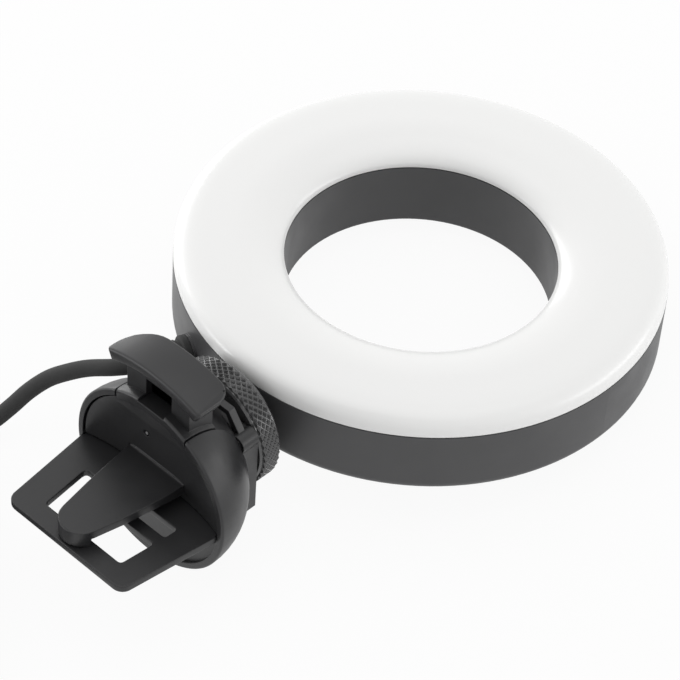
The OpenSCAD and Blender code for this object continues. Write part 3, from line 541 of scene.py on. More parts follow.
def hand_over(piece: bpy.types.Object, body: str, finish: Finish, *nodes: str) -> bpy.types.Object:
    """Says which body a finished piece moves with, what it stands for and what it is made of.

    Args:
        piece: The finished piece.
        body: The body that it rides on.
        finish: The finish whose slot it belongs to.
        nodes: The CAD nodes that it stands for.

    Returns:
        The piece.
    """
    if not piece.data.materials:
        dress(piece, finish)
    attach(piece, body)
    if nodes:
        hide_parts(*nodes)
    stands_for = ", ".join(nodes) or "nothing"
    LOG.info("piece %s on %s, finish %s, stands for %s", piece.name, body, finish.name, stands_for)
    return piece


def smooth(piece: bpy.types.Object, angle: float = 32.0) -> None:
    """Shades a piece smoothly up to an angle between its faces, flat faces leading.

    Args:
        piece: The piece.
        angle: The angle in degrees past which an edge stays sharp.
    """
    take_up(piece)
    bpy.ops.object.shade_smooth_by_angle(angle=math.radians(angle))
    weigh = piece.modifiers.new("flat_faces_lead", "WEIGHTED_NORMAL")
    weigh.keep_sharp = True
    bpy.ops.object.modifier_apply(modifier=weigh.name)


def settle(piece: bpy.types.Object, place: Matrix) -> None:
    """Puts a piece in its place and writes that place into its mesh.

    Args:
        piece: The piece, modelled round the origin.
        place: Its place in metres.
    """
    take_up(piece)
    piece.matrix_world = place
    bpy.ops.object.transform_apply(location=True, rotation=True, scale=True)


def volume_of(data: bpy.types.Mesh) -> float:
    """The volume that a mesh's faces enclose, in cubic metres."""
    mesh = bmesh.new()
    mesh.from_mesh(data)
    bmesh.ops.remove_doubles(mesh, verts=mesh.verts, dist=1e-7)
    volume = mesh.calc_volume(signed=True)
    mesh.free()
    return volume


def corners_of(data: bpy.types.Mesh) -> tuple[Vector, Vector]:
    """A mesh's lowest and highest corner."""
    places = [v.co for v in data.vertices]
    low = Vector([min(p[i] for p in places) for i in range(3)])
    high = Vector([max(p[i] for p in places) for i in range(3)])
    return low, high


@dataclass
class LyingFrame:
    """Turns points of the upright ring into points of the light as it lies, in mm.

    Args:
        ring_r: The ring's outer radius.
        ring_t: The ring's thickness under the rim.
        edge_r: Radius of the ring's rounded back edge.
        dome_y: How far out along the clip its round body is widest.
        dome_z: Depth of the round body's axis under the rim.
        dome_r: The round body's radius.
        plate_y: How far out the plate reaches.
        plate_low: Depth of the plate's underside under the rim.
    """

    ring_r: float = 60.0
    ring_t: float = 17.5
    edge_r: float = 2.5
    dome_y: float = 89.6
    dome_z: float = 11.5
    dome_r: float = 24.0
    plate_y: float = 117.0
    plate_low: float = 14.8

    def __post_init__(self) -> None:
        """Works out the lean and the shift."""
        span = (self.ring_r - self.edge_r) + self.dome_y
        drop = (self.dome_z + self.dome_r) - (self.ring_t - self.edge_r)
        self.lean = math.asin(self.edge_r / math.hypot(span, drop)) - math.atan2(drop, span)
        cos, sin = math.cos(self.lean), math.sin(self.lean)
        self.lift = (self.ring_t - self.edge_r) * cos - (self.ring_r - self.edge_r) * sin + self.edge_r
        self.shift = -(self.ring_r * cos - self.plate_y * cos + self.plate_low * sin) / 2

    def matrix(self) -> Matrix:
        """The place of the ring's own frame, in metres."""
        return Matrix.Translation((0, self.shift * MM, self.lift * MM)) @ Matrix.Rotation(self.lean, 4, "X")

    def clip_axis(self, height: float) -> Matrix:
        """The place of the frame whose Z points out along the clip, its axis at a height under the rim."""
        return self.matrix() @ Matrix.Translation((0, 0, -height * MM)) @ Matrix.Rotation(math.pi / 2, 4, "X")

    def laid(self, x: float, y: float, z: float) -> Vector:
        """A point of the ring's own frame, as it lies, in mm."""
        return self.matrix() @ (Vector((x, y, z)) * MM) / MM

    def upright(self, place: Vector) -> Vector:
        """A point in metres, as it lies, back in the ring's own frame in mm."""
        return self.matrix().inverted() @ place / MM


LYING = LyingFrame()
EdgeTest = Callable[[Vector, Vector], bool]


def everywhere(_start: Vector, _end: Vector) -> bool:
    """Takes every edge."""
    return True


@dataclass(frozen=True)
class Rounding:
    """A fillet along the sharp outward edges of a part of a piece.

    Args:
        radius: Its size, in mm.
        steps: Faces over the fillet.
        where: Says by an edge's two ends, in the ring's own frame in mm, whether it is rounded.
        least: Least angle between an edge's faces, in degrees.
    """

    radius: float
    steps: int = 2
    where: EdgeTest = everywhere
    least: float = 40.0

    def cut(self, piece: bpy.types.Object) -> int:
        """Rounds the edges that fit.

        Args:
            piece: The piece, active in object mode.

        Returns:
            How many edges were rounded.
        """
        bpy.ops.object.mode_set(mode="EDIT")
        bpy.ops.mesh.select_mode(type="EDGE")
        bpy.ops.mesh.select_all(action="DESELECT")
        mesh = bmesh.from_edit_mesh(piece.data)
        taken = 0
        for edge in mesh.edges:
            if len(edge.link_faces) != 2 or not edge.is_convex:
                continue
            if edge.calc_face_angle(0.0) < math.radians(self.least):
                continue
            if self.where(*(LYING.upright(v.co) for v in edge.verts)):
                edge.select_set(True)
                taken += 1
        bmesh.update_edit_mesh(piece.data)
        if taken:
            bpy.ops.mesh.bevel(
                offset_type="OFFSET", offset=self.radius * MM, segments=self.steps, affect="EDGES",
                clamp_overlap=False,
            )
        bpy.ops.object.mode_set(mode="OBJECT")
        return taken


@dataclass
class ShellCopy:
    """A copy of a CAD node, merged into whole faces, with its edges rounded.

    Args:
        node: The CAD node that it copies.
        name: The piece's name.
        body: The body that it rides on.
        finish: Its finish.
        roundings: Its fillets, the largest first.
        merge: Distance within which points are merged, in mm.
        flat: Angle in degrees up to which neighbouring faces become one.
    """

    node: str
    name: str
    body: str
    finish: Finish
    roundings: tuple[Rounding, ...] = ()
    merge: float = 0.02
    flat: float = 1.0

    def merged(self) -> bpy.types.Object:
        """Copies the node's mesh and merges its loose triangles.

        Returns:
            The copy.
        """
        piece = bpy.data.objects.new(self.name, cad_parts[self.node].data.copy())
        bpy.context.scene.collection.objects.link(piece)
        take_up(piece)
        if piece.data.has_custom_normals:
            bpy.ops.mesh.customdata_custom_splitnormals_clear()
        bpy.ops.object.mode_set(mode="EDIT")
        bpy.ops.mesh.select_all(action="SELECT")
        bpy.ops.mesh.remove_doubles(threshold=self.merge * MM)
        bpy.ops.mesh.dissolve_degenerate(threshold=self.merge * MM)
        bpy.ops.mesh.select_all(action="SELECT")
        bpy.ops.mesh.dissolve_limited(angle_limit=math.radians(self.flat))
        bpy.ops.mesh.select_all(action="SELECT")
        bpy.ops.mesh.normals_make_consistent(inside=False)
        bpy.ops.object.mode_set(mode="OBJECT")
        return piece

    def sound(self, piece: bpy.types.Object, sharp: bpy.types.Mesh) -> bool:
        """Whether the rounded copy is still the same shape.

        Args:
            piece: The rounded copy.
            sharp: The mesh that it had before.

        Returns:
            True if its volume and box are near the sharp mesh's and it is closed.
        """
        ratio = volume_of(piece.data) / volume_of(sharp)
        low, high = corners_of(piece.data)
        sharp_low, sharp_high = corners_of(sharp)
        grown = max(*(sharp_low - low), *(high - sharp_high)) / MM
        mesh = bmesh.new()
        mesh.from_mesh(piece.data)
        loose = sum(1 for edge in mesh.edges if len(edge.link_faces) != 2)
        mesh.free()
        LOG.info("%s: volume %.3f of before, grown %.3f mm, %d open edges", self.name, ratio, grown, loose)
        return VOLUME_KEPT[0] < ratio < VOLUME_KEPT[1] and grown < GROWTH_ALLOWED and loose == 0

    def build(self) -> bpy.types.Object:
        """Makes the piece, with as many of its fillets as leave it sound.

        Returns:
            The piece.
        """
        piece = self.merged()
        for rounding in self.roundings:
            before = piece.data.copy()
            taken = rounding.cut(piece)
            LOG.info("%s: %d edges rounded by %.2f mm", self.name, taken, rounding.radius)
            if not self.sound(piece, before):
                LOG.warning("%s: the %.2f mm rounding is left out", self.name, rounding.radius)
                piece.data = before
                take_up(piece)
        smooth(piece)
        dress(piece, self.finish)
        return hand_over(piece, self.body, self.finish, self.node)


@dataclass(frozen=True)
class DishedFace:
    """The lever's dished face, in the ring's own frame in mm.

    Args:
        rim_out: How far out along the clip its rim is.
        rim_r: The rim's radius.
        rim_w: Width of the band that counts as the rim.
        rim_t: Depth of that band.
        depth: How far its middle lies behind the rim.
        low: How far its middle lies under the ring's rim.
        power: How late it rises towards the rim.
    """

    rim_out: float = 90.2
    rim_r: float = 21.85
    rim_w: float = 0.4
    rim_t: float = 0.6
    depth: float = 2.2
    low: float = LYING.dome_z
    power: int = 3

    def out_at(self, x: float, height: float) -> float:
        """How far out along the clip the face is, at a place on it."""
        share = math.hypot(x, height + self.low) / self.rim_r
        return self.rim_out - self.depth * (1 - share**self.power)

    def on_rim(self, start: Vector, end: Vector) -> bool:
        """Whether an edge lies on the rim.

        Args:
            start: Its one end, in the ring's own frame.
            end: Its other end.

        Returns:
            True if both ends are on the rim.
        """
        least_r, least_out = self.rim_r - self.rim_w, self.rim_out - self.rim_t
        return all(math.hypot(p.x, p.z + self.low) > least_r and -p.y > least_out for p in (start, end))


DISHED_FACE = DishedFace()


@dataclass
class LeverCopy(ShellCopy):
    """The lever's copy without its pad, for which a softer one is modelled.

    Args:
        cut: Height over the rim where the pad is cut off, in mm.
        stem_top: Height to which the stem's end is drawn up, inside the new pad, in mm.
        root: The corner between the dished face and the tongue, as distance out and height, in mm.
        root_r: Radius of the hollow in that corner, in mm.
        tight_r: The tighter radius that it gets, in mm.
        tongue_half: Half the tongue's width, in mm.
        slack: How far a point may be from the hollow and still be on it, in mm.
    """

    cut: float = 19.2
    stem_top: float = 21.2
    root: Spot = (87.6, -8.0)
    root_r: float = 3.5
    tight_r: float = 1.1
    tongue_half: float = 9.0
    slack: float = 0.06

    def on_hollow(self, spot: Vector) -> bool:
        """Whether a point is on the hollow at the tongue's root.

        Args:
            spot: The point, in the ring's own frame.

        Returns:
            True if it is on the hollow's quarter round, within the tongue's width.
        """
        out, height = -spot.y - self.root[0], spot.z - self.root[1]
        if abs(spot.x) > self.tongue_half + self.slack or out > self.root_r or height > self.root_r:
            return False
        return abs(math.hypot(out - self.root_r, height - self.root_r) - self.root_r) <= self.slack

    def tighten_root(self, piece: bpy.types.Object) -> None:
        """Draws the hollow at the tongue's root into its corner, along the dished face.

        Args:
            piece: The copy, in object mode.
        """
        (root_out, root_z), share = self.root, self.tight_r / self.root_r
        moved = 0
        for vertex in piece.data.vertices:
            spot = LYING.upright(vertex.co)
            if self.on_hollow(spot):
                height = root_z + (spot.z - root_z) * share
                out = max(root_out + (-spot.y - root_out) * share, DISHED_FACE.out_at(spot.x, height))
                vertex.co = LYING.laid(spot.x, -out, height) * MM
                moved += 1
        LOG.info("%s: %d points drawn into the tongue's root", self.name, moved)

    def merged(self) -> bpy.types.Object:
        """Copies the node, cuts off its pad and draws the stem up.

        Returns:
            The copy.
        """
        piece = super().merged()
        up = LYING.matrix().to_3x3() @ Vector((0, 0, 1))
        bpy.ops.object.mode_set(mode="EDIT")
        bpy.ops.mesh.select_all(action="SELECT")
        level = LYING.laid(0, 0, self.cut) * MM
        bpy.ops.mesh.bisect(plane_co=level, plane_no=up, use_fill=True, clear_outer=True)
        bpy.ops.transform.translate(value=up * (self.stem_top - self.cut) * MM)
        bpy.ops.object.mode_set(mode="OBJECT")
        self.tighten_root(piece)
        return piece


def turned(name: str, outline: Sequence[Spot], steps: int, angle: float = 360.0) -> bpy.types.Object:
    """Turns a closed outline round the Z axis, as on a lathe.

    Args:
        name: The piece's name.
        outline: Its points as radius and height, in mm.
        steps: Faces round the full angle.
        angle: The angle in degrees through which it turns.

    Returns:
        The piece.
    """
    deselect_all()
    bpy.ops.mesh.primitive_circle_add(vertices=len(outline), radius=MM)
    piece = bpy.context.object
    piece.name = name
    for vertex, (radius, height) in zip(piece.data.vertices, outline):
        vertex.co = (radius * MM, 0, height * MM)
    bpy.ops.object.mode_set(mode="EDIT")
    bpy.ops.mesh.select_all(action="SELECT")
    bpy.ops.mesh.spin(steps=steps, angle=math.radians(angle), center=(0, 0, 0), axis=(0, 0, 1))
    bpy.ops.mesh.select_all(action="SELECT")
    bpy.ops.mesh.remove_doubles(threshold=0.0005 * MM)
    bpy.ops.mesh.dissolve_degenerate(threshold=0.0005 * MM)
    bpy.ops.mesh.delete_loose()
    bpy.ops.mesh.select_all(action="SELECT")
    if angle < 360:
        bpy.ops.mesh.fill_holes(sides=0)
        bpy.ops.mesh.select_all(action="SELECT")
    bpy.ops.mesh.normals_make_consistent(inside=False)
    bpy.ops.object.mode_set(mode="OBJECT")
    return piece


def block(name: str, size: Point, middle: Point, edge: float) -> bpy.types.Object:
    """A bar with rounded edges.

    Args:
        name: The piece's name.
        size: Its sides, in mm.
        middle: Its middle, in mm.
        edge: The radius of its edges, in mm.

    Returns:
        The piece.
    """
    deselect_all()
    bpy.ops.mesh.primitive_cube_add(size=MM, location=Vector(middle) * MM)
    piece = bpy.context.object
    piece.name = name
    bpy.ops.object.mode_set(mode="EDIT")
    bpy.ops.mesh.select_all(action="SELECT")
    bpy.ops.transform.resize(value=size)
    bpy.ops.mesh.bevel(offset=edge * MM, segments=2, affect="EDGES")
    bpy.ops.object.mode_set(mode="OBJECT")
    bpy.ops.object.transform_apply(location=True, rotation=True, scale=True)
    return piece


def joined(name: str, parts: Sequence[bpy.types.Object]) -> bpy.types.Object:
    """Joins parts into one piece.

    Args:
        name: The piece's name.
        parts: Its parts.

    Returns:
        The piece.
    """
    deselect_all()
    for part in parts:
        part.select_set(True)
    bpy.context.view_layer.objects.active = parts[0]
    bpy.ops.object.join()
    parts[0].name = name
    return parts[0]


def carved(piece: bpy.types.Object, cutter: bpy.types.Object) -> None:
    """Cuts one shape out of another and removes the cutter.

    Args:
        piece: The piece.
        cutter: What is cut out of it.
    """
    take_up(piece)
    cut = piece.modifiers.new("cut", "BOOLEAN")
    cut.operation = "DIFFERENCE"
    cut.solver = "EXACT"
    cut.use_self = True
    cut.object = cutter
    bpy.ops.object.modifier_apply(modifier=cut.name)
    bpy.data.objects.remove(cutter)


# The ring head


@dataclass
class RingHead:
    """The ring: its housing and cover, the milky diffuser, the screws and the lit board inside.

    Args:
        ring_r: The ring's outer radius, in mm as are all lengths here.
        hole_r: Radius of its hole.
        ring_t: Its thickness under the rim.
        rim_w: Width of the housing's rim round the diffuser's skirt.
        seat_t: How deep the skirt sits in the housing.
        seat_gap: Gap between the skirt and the rim.
        bulge: Height of the diffuser's crown over the rim.
        edge_h: Height over the rim at which its face starts.
        edge_in: How far its face stays inside the housing's walls.
        hole_roll: Powers that shape the face towards the hole.
        rim_roll: Powers that shape it towards the outer edge.
        seam: Height of the seam between the diffuser and the rim.
        lip: Bevel of the diffuser's lower edges.
        shade_wall: Thickness of the diffuser.
        crown_points: Spans across the diffuser's face.
        under_points: Spans across its underside.
        round_steps: Faces round the ring.
        lens_edge: Width of an LED's case round its phosphor.
        lens_sink: How deep the phosphor is sunk.
        screw_count: Number of the cover's screws.
        screw_ring: Radius of the circle that they stand on.
        screw_head: Radius of a screw's head.
        screw_shank: Radius of its thread.
        screw_length: Its length.
        thread_pitch: Its thread's pitch.
        thread_depth: Its thread's depth.
        recess: Length, width and height of an arm of the cutter for its recess.
    """

    ring_r: float = LYING.ring_r
    hole_r: float = 33.2
    ring_t: float = LYING.ring_t
    rim_w: float = 0.9
    seat_t: float = 1.6
    seat_gap: float = 0.1
    bulge: float = 5.5
    edge_h: float = 0.8
    edge_in: float = 0.05
    hole_roll: tuple[int, float] = (2, 0.55)
    rim_roll: tuple[int, float] = (6, 0.4)
    seam: float = 0.12
    lip: float = 0.18
    shade_wall: float = 1.7
    crown_points: int = 40
    under_points: int = 16
    round_steps: int = 240
    lens_edge: float = 0.35
    lens_sink: float = 0.12
    screw_count: int = 4
    screw_ring: float = 52.5
    screw_head: float = 2.3
    screw_shank: float = 1.1
    screw_length: float = 5.4
    thread_pitch: float = 0.5
    thread_depth: float = 0.16
    recess: Point = (2.5, 0.55, 2.1)

    def face_height(self, share: float, top: float) -> float:
        """Height of the diffuser's face, steep at its outer edge and soft at the hole.

        Args:
            share: Place across the face, -1 at the hole and 1 at the outer edge.
            top: Height of the crown, in mm.

        Returns:
            The height over the rim, in mm.
        """
        power, root = self.hole_roll if share < 0 else self.rim_roll
        return self.edge_h + (top - self.edge_h) * (1 - share**power) ** root

    def face_line(self, inner: float, outer: float, top: float, drop: float, points: int) -> list[Spot]:
        """Points of the diffuser's face from the hole outwards.

        Args:
            inner: Radius where it starts, in mm.
            outer: Radius where it ends.
            top: Height of the crown.
            drop: How far the line lies under the face.
            points: Spans along the line.

        Returns:
            The points as radius and height.
        """
        shares = [-math.cos(math.pi * i / points) for i in range(points + 1)]
        middle, half = (inner + outer) / 2, (outer - inner) / 2
        return [(middle + s * half, self.face_height(s, top) - drop) for s in shares]

    def diffuser(self) -> bpy.types.Object:
        """Turns the diffuser: a hollow pillow over the whole ring, with a skirt that sits in the housing.

        Returns:
            The piece.
        """
        inner, outer = self.hole_r + self.edge_in, self.ring_r - self.edge_in
        skirt_in = self.hole_r + self.rim_w + self.seat_gap
        skirt_out = self.ring_r - self.rim_w - self.seat_gap
        wall, low, seam, lip = self.shade_wall, -self.seat_t, self.seam, self.lip
        outline = [(skirt_in, low), (skirt_in, seam), (inner + lip, seam), (inner, seam + lip)]
        outline += self.face_line(inner, outer, self.bulge, 0, self.crown_points)
        outline += [(outer, seam + lip), (outer - lip, seam), (skirt_out, seam), (skirt_out, low)]
        outline += [(skirt_out - wall, low)]
        under = self.face_line(skirt_in + wall, skirt_out - wall, self.bulge, wall, self.under_points)
        outline += [*reversed(under), (skirt_in + wall, low)]
        piece = turned("diffuser", outline, self.round_steps)
        settle(piece, LYING.matrix())
        smooth(piece, 50)
        return hand_over(piece, "ring", MILKY_DIFFUSER, "front_diffuser")

    def screw(self, number: int) -> bpy.types.Object:
        """Turns a countersunk cover screw and cuts its cross recess.

        Args:
            number: Its place round the ring, from 1.

        Returns:
            The screw, its head's top at the origin and its tip above it.
        """
        head, shank, end = self.screw_head, self.screw_shank, self.screw_length
        cone_end, pitch = head - shank + 0.1, self.thread_pitch
        thread_from, thread_to = head - shank + 0.5, end - 0.7
        outline = [(0.0, 0.06), (head - 0.45, 0.06), (head - 0.08, 0.12), (head, 0.22), (shank, cone_end)]
        for i in range(int((thread_to - thread_from) / pitch)):
            z = thread_from + i * pitch
            outline += [(shank, z), (shank - self.thread_depth, z + pitch / 2)]
        outline += [(shank, end - 0.5), (shank - 0.35, end), (0.0, end)]
        piece = turned(f"cover_screw_{number}", outline, 40)
        long, wide, deep = self.recess
        for size in ((long, wide, deep), (wide, long, deep)):
            carved(piece, block("recess_arm", size, (0, 0, 0), 0.08))
        return piece

    def screws(self) -> None:
        """Sets the cover screws in the back."""
        for i in range(self.screw_count):
            piece = self.screw(i + 1)
            a = math.radians(45 + 360 * i / self.screw_count)
            spot = Vector((self.screw_ring * math.cos(a), self.screw_ring * math.sin(a), -self.ring_t)) * MM
            settle(piece, LYING.matrix() @ Matrix.Translation(spot) @ Matrix.Rotation(a, 4, "Z"))
            smooth(piece, 30)
            hand_over(piece, "ring", DARK_STEEL, "cover_screws")

    def lights(self, node: str, name: str, case: Finish, lens: Finish) -> None:
        """Copies a set of LEDs and sinks a round-edged field of phosphor into each one's face.

        Args:
            node: The CAD node.
            name: The piece's name.
            case: Finish of the cases.
            lens: Finish of the phosphor.
        """
        piece = ShellCopy(node, name, "ring", case).merged()
        dress(piece, case, lens)
        bpy.ops.object.mode_set(mode="EDIT")
        bpy.ops.mesh.select_mode(type="FACE")
        bpy.ops.mesh.select_all(action="DESELECT")
        mesh = bmesh.from_edit_mesh(piece.data)
        up = LYING.matrix().to_3x3() @ Vector((0, 0, 1))
        for face in mesh.faces:
            face.select_set(face.normal.dot(up) > 0.9)
        bmesh.update_edit_mesh(piece.data)
        bpy.ops.mesh.inset(thickness=self.lens_edge * MM, use_individual=True)
        piece.active_material_index = 1
        bpy.ops.object.material_slot_assign()
        bpy.ops.mesh.extrude_region_shrink_fatten(TRANSFORM_OT_shrink_fatten={"value": -self.lens_sink * MM})
        bpy.ops.object.mode_set(mode="OBJECT")
        hand_over(piece, "ring", case, node)

    def build(self) -> None:
        """Makes the ring head's pieces and dresses its CAD nodes."""
        self.diffuser()
        self.screws()
        self.lights("leds_warm", "warm_lights", WARM_CASE, WARM_PHOSPHOR)
        self.lights("leds_cool", "cool_lights", COOL_CASE, COOL_PHOSPHOR)
        dress_node("ring_housing", CHARCOAL_SHELL)
        dress_node("rear_cover", CHARCOAL_SHELL)
        dress_node("led_board", WHITE_BOARD)
        dress_node("board_screws", ZINC_STEEL)


# The ball joint and the screen clip


@dataclass
class BallJoint:
    """The stud with its ball, the nylon liner, the split socket and the knurled lock nut.

    Args:
        nut_r: The nut's radius over its ridges, in mm as are all lengths here.
        joint_z: Depth of the joint's axis under the rim.
        ridge: Bevel of the ridges.
        slack: How far a point may be inside the radius and still be on a ridge.
    """

    nut_r: float = 16.0
    joint_z: float = 9.0
    ridge: float = 0.11
    slack: float = 0.03

    def on_ridge(self, start: Vector, end: Vector) -> bool:
        """Whether an edge is one of the knurl's crossing ridges.

        Args:
            start: Its one end, in the ring's own frame.
            end: Its other end.

        Returns:
            True if both ends are at the nut's outer radius.
        """
        return all(math.hypot(p.x, p.z + self.joint_z) > self.nut_r - self.slack for p in (start, end))

    def build(self) -> None:
        """Makes the nut and dresses the joint's CAD nodes."""
        ridges = Rounding(self.ridge, 1, self.on_ridge, 15)
        # The nut's finish has a lightened base colour: painted highlight for the light on its ridges.
        ShellCopy("knurled_collar", "lock_nut", "nut", NUT_BLACK_PAINTED_LIGHT, (ridges,), merge=0.03, flat=0.3).build()
        dress_node("stud_screw", ZINC_STEEL)
        dress_node("ball_stud", COATED_ALLOY)
        dress_node("ball_liner", NYLON)
        dress_node("socket_collet", SOCKET_BLACK)


@dataclass
class ThumbPad:
    """The arched pad that the thumb presses, thickest at its two ends.

    Args:
        half: Half its width, in mm as are all lengths here.
        back: How far out along the clip its back edge is.
        front: How far out its front edge is.
        top: Height over the rim of the middle of its top.
        top_drop: How much lower the top is at its ends.
        under: Height over the rim of the middle of its underside.
        under_drop: How much lower the underside is at its ends.
        corner_radii: Radii of its corners: front left, front right, back right and back left.
        undercut: How far its underside stays back at the ends.
        reach: How much further its right end reaches.
        top_edge: Fillet of its upper rim.
        under_edge: Fillet of its lower rim.
        strips: Number of strips that its arch is made of.
    """

    half: float = 14.6
    back: float = 79.4
    front: float = 90.3
    top: float = 23.0
    top_drop: float = 2.5
    under: float = 20.6
    under_drop: float = 3.0
    corner_radii: tuple[float, float, float, float] = (1.0, 1.0, 4.2, 9.0)
    undercut: float = 1.35
    reach: float = 0.6
    top_edge: float = 0.75
    under_edge: float = 0.35
    strips: int = 28

    def heights(self, x: float) -> Spot:
        """The heights of the underside and of the top at a distance across, in mm."""
        share = (x / self.half) ** 2
        return self.under - self.under_drop * share, self.top - self.top_drop * share

    def on_top(self, start: Vector, end: Vector) -> bool:
        """Whether an edge runs round the top."""
        return all(p.z > sum(self.heights(p.x)) / 2 for p in (start, end))

    def on_underside(self, start: Vector, end: Vector) -> bool:
        """Whether an edge runs round the underside."""
        return all(p.z < sum(self.heights(p.x)) / 2 for p in (start, end))

    def round_corner(self, piece: bpy.types.Object, x: float, out: float, radius: float) -> None:
        """Rounds one corner of the flat outline.

        Args:
            piece: The outline, in edit mode.
            x: Where the corner is across, in mm.
            out: How far out along the clip it is, in mm.
            radius: Its radius, in mm.
        """
        bpy.ops.mesh.select_all(action="DESELECT")
        mesh = bmesh.from_edit_mesh(piece.data)
        corner = min(mesh.verts, key=lambda v: (v.co - Vector((x, -out, 0)) * MM).length)
        corner.select_set(True)
        bmesh.update_edit_mesh(piece.data)
        bpy.ops.mesh.bevel(offset=radius * MM, segments=9, affect="VERTICES")

    def build(self) -> bpy.types.Object:
        """Cuts the outline into strips, gives it its thickness, arches it and rounds its rims.

        Returns:
            The piece.
        """
        deselect_all()
        bpy.ops.mesh.primitive_plane_add(size=MM)
        piece = bpy.context.object
        piece.name = "thumb_pad"
        bpy.ops.object.mode_set(mode="EDIT")
        bpy.ops.mesh.select_mode(type="VERT")
        bpy.ops.mesh.select_all(action="SELECT")
        bpy.ops.transform.resize(value=(2 * self.half + self.reach, self.front - self.back, 1))
        bpy.ops.transform.translate(value=(self.reach / 2 * MM, -(self.front + self.back) / 2 * MM, 0))
        left, right = -self.half, self.half + self.reach
        places = ((left, self.front), (right, self.front), (right, self.back), (left, self.back))
        for (x, out), radius in zip(places, self.corner_radii):
            self.round_corner(piece, x, out, radius)
        for i in range(1, self.strips):
            bpy.ops.mesh.select_all(action="SELECT")
            x = self.half * (2 * i / self.strips - 1)
            bpy.ops.mesh.bisect(plane_co=(x * MM, 0, 0), plane_no=(1, 0, 0))
        bpy.ops.mesh.select_all(action="SELECT")
        bpy.ops.mesh.extrude_region_move(TRANSFORM_OT_translate={"value": (0, 0, MM)})
        bpy.ops.mesh.select_all(action="SELECT")
        bpy.ops.mesh.normals_make_consistent(inside=False)
        bpy.ops.object.mode_set(mode="OBJECT")
        for vertex in piece.data.vertices:
            low, high = self.heights(vertex.co.x / MM)
            if vertex.co.z > MM / 2:
                vertex.co.z = high * MM
            else:
                vertex.co = vertex.co.x * (1 - self.undercut / self.half), vertex.co.y, low * MM
        settle(piece, LYING.matrix())
        upper = Rounding(self.top_edge, 4, self.on_top, 50).cut(piece)
        lower = Rounding(self.under_edge, 2, self.on_underside, 50).cut(piece)
        LOG.info("thumb_pad: %d and %d edges rounded", upper, lower)
        bpy.ops.object.shade_smooth_by_angle(angle=math.radians(35))
        return hand_over(piece, "jaw", CLIP_BLACK, "jaw_lever")


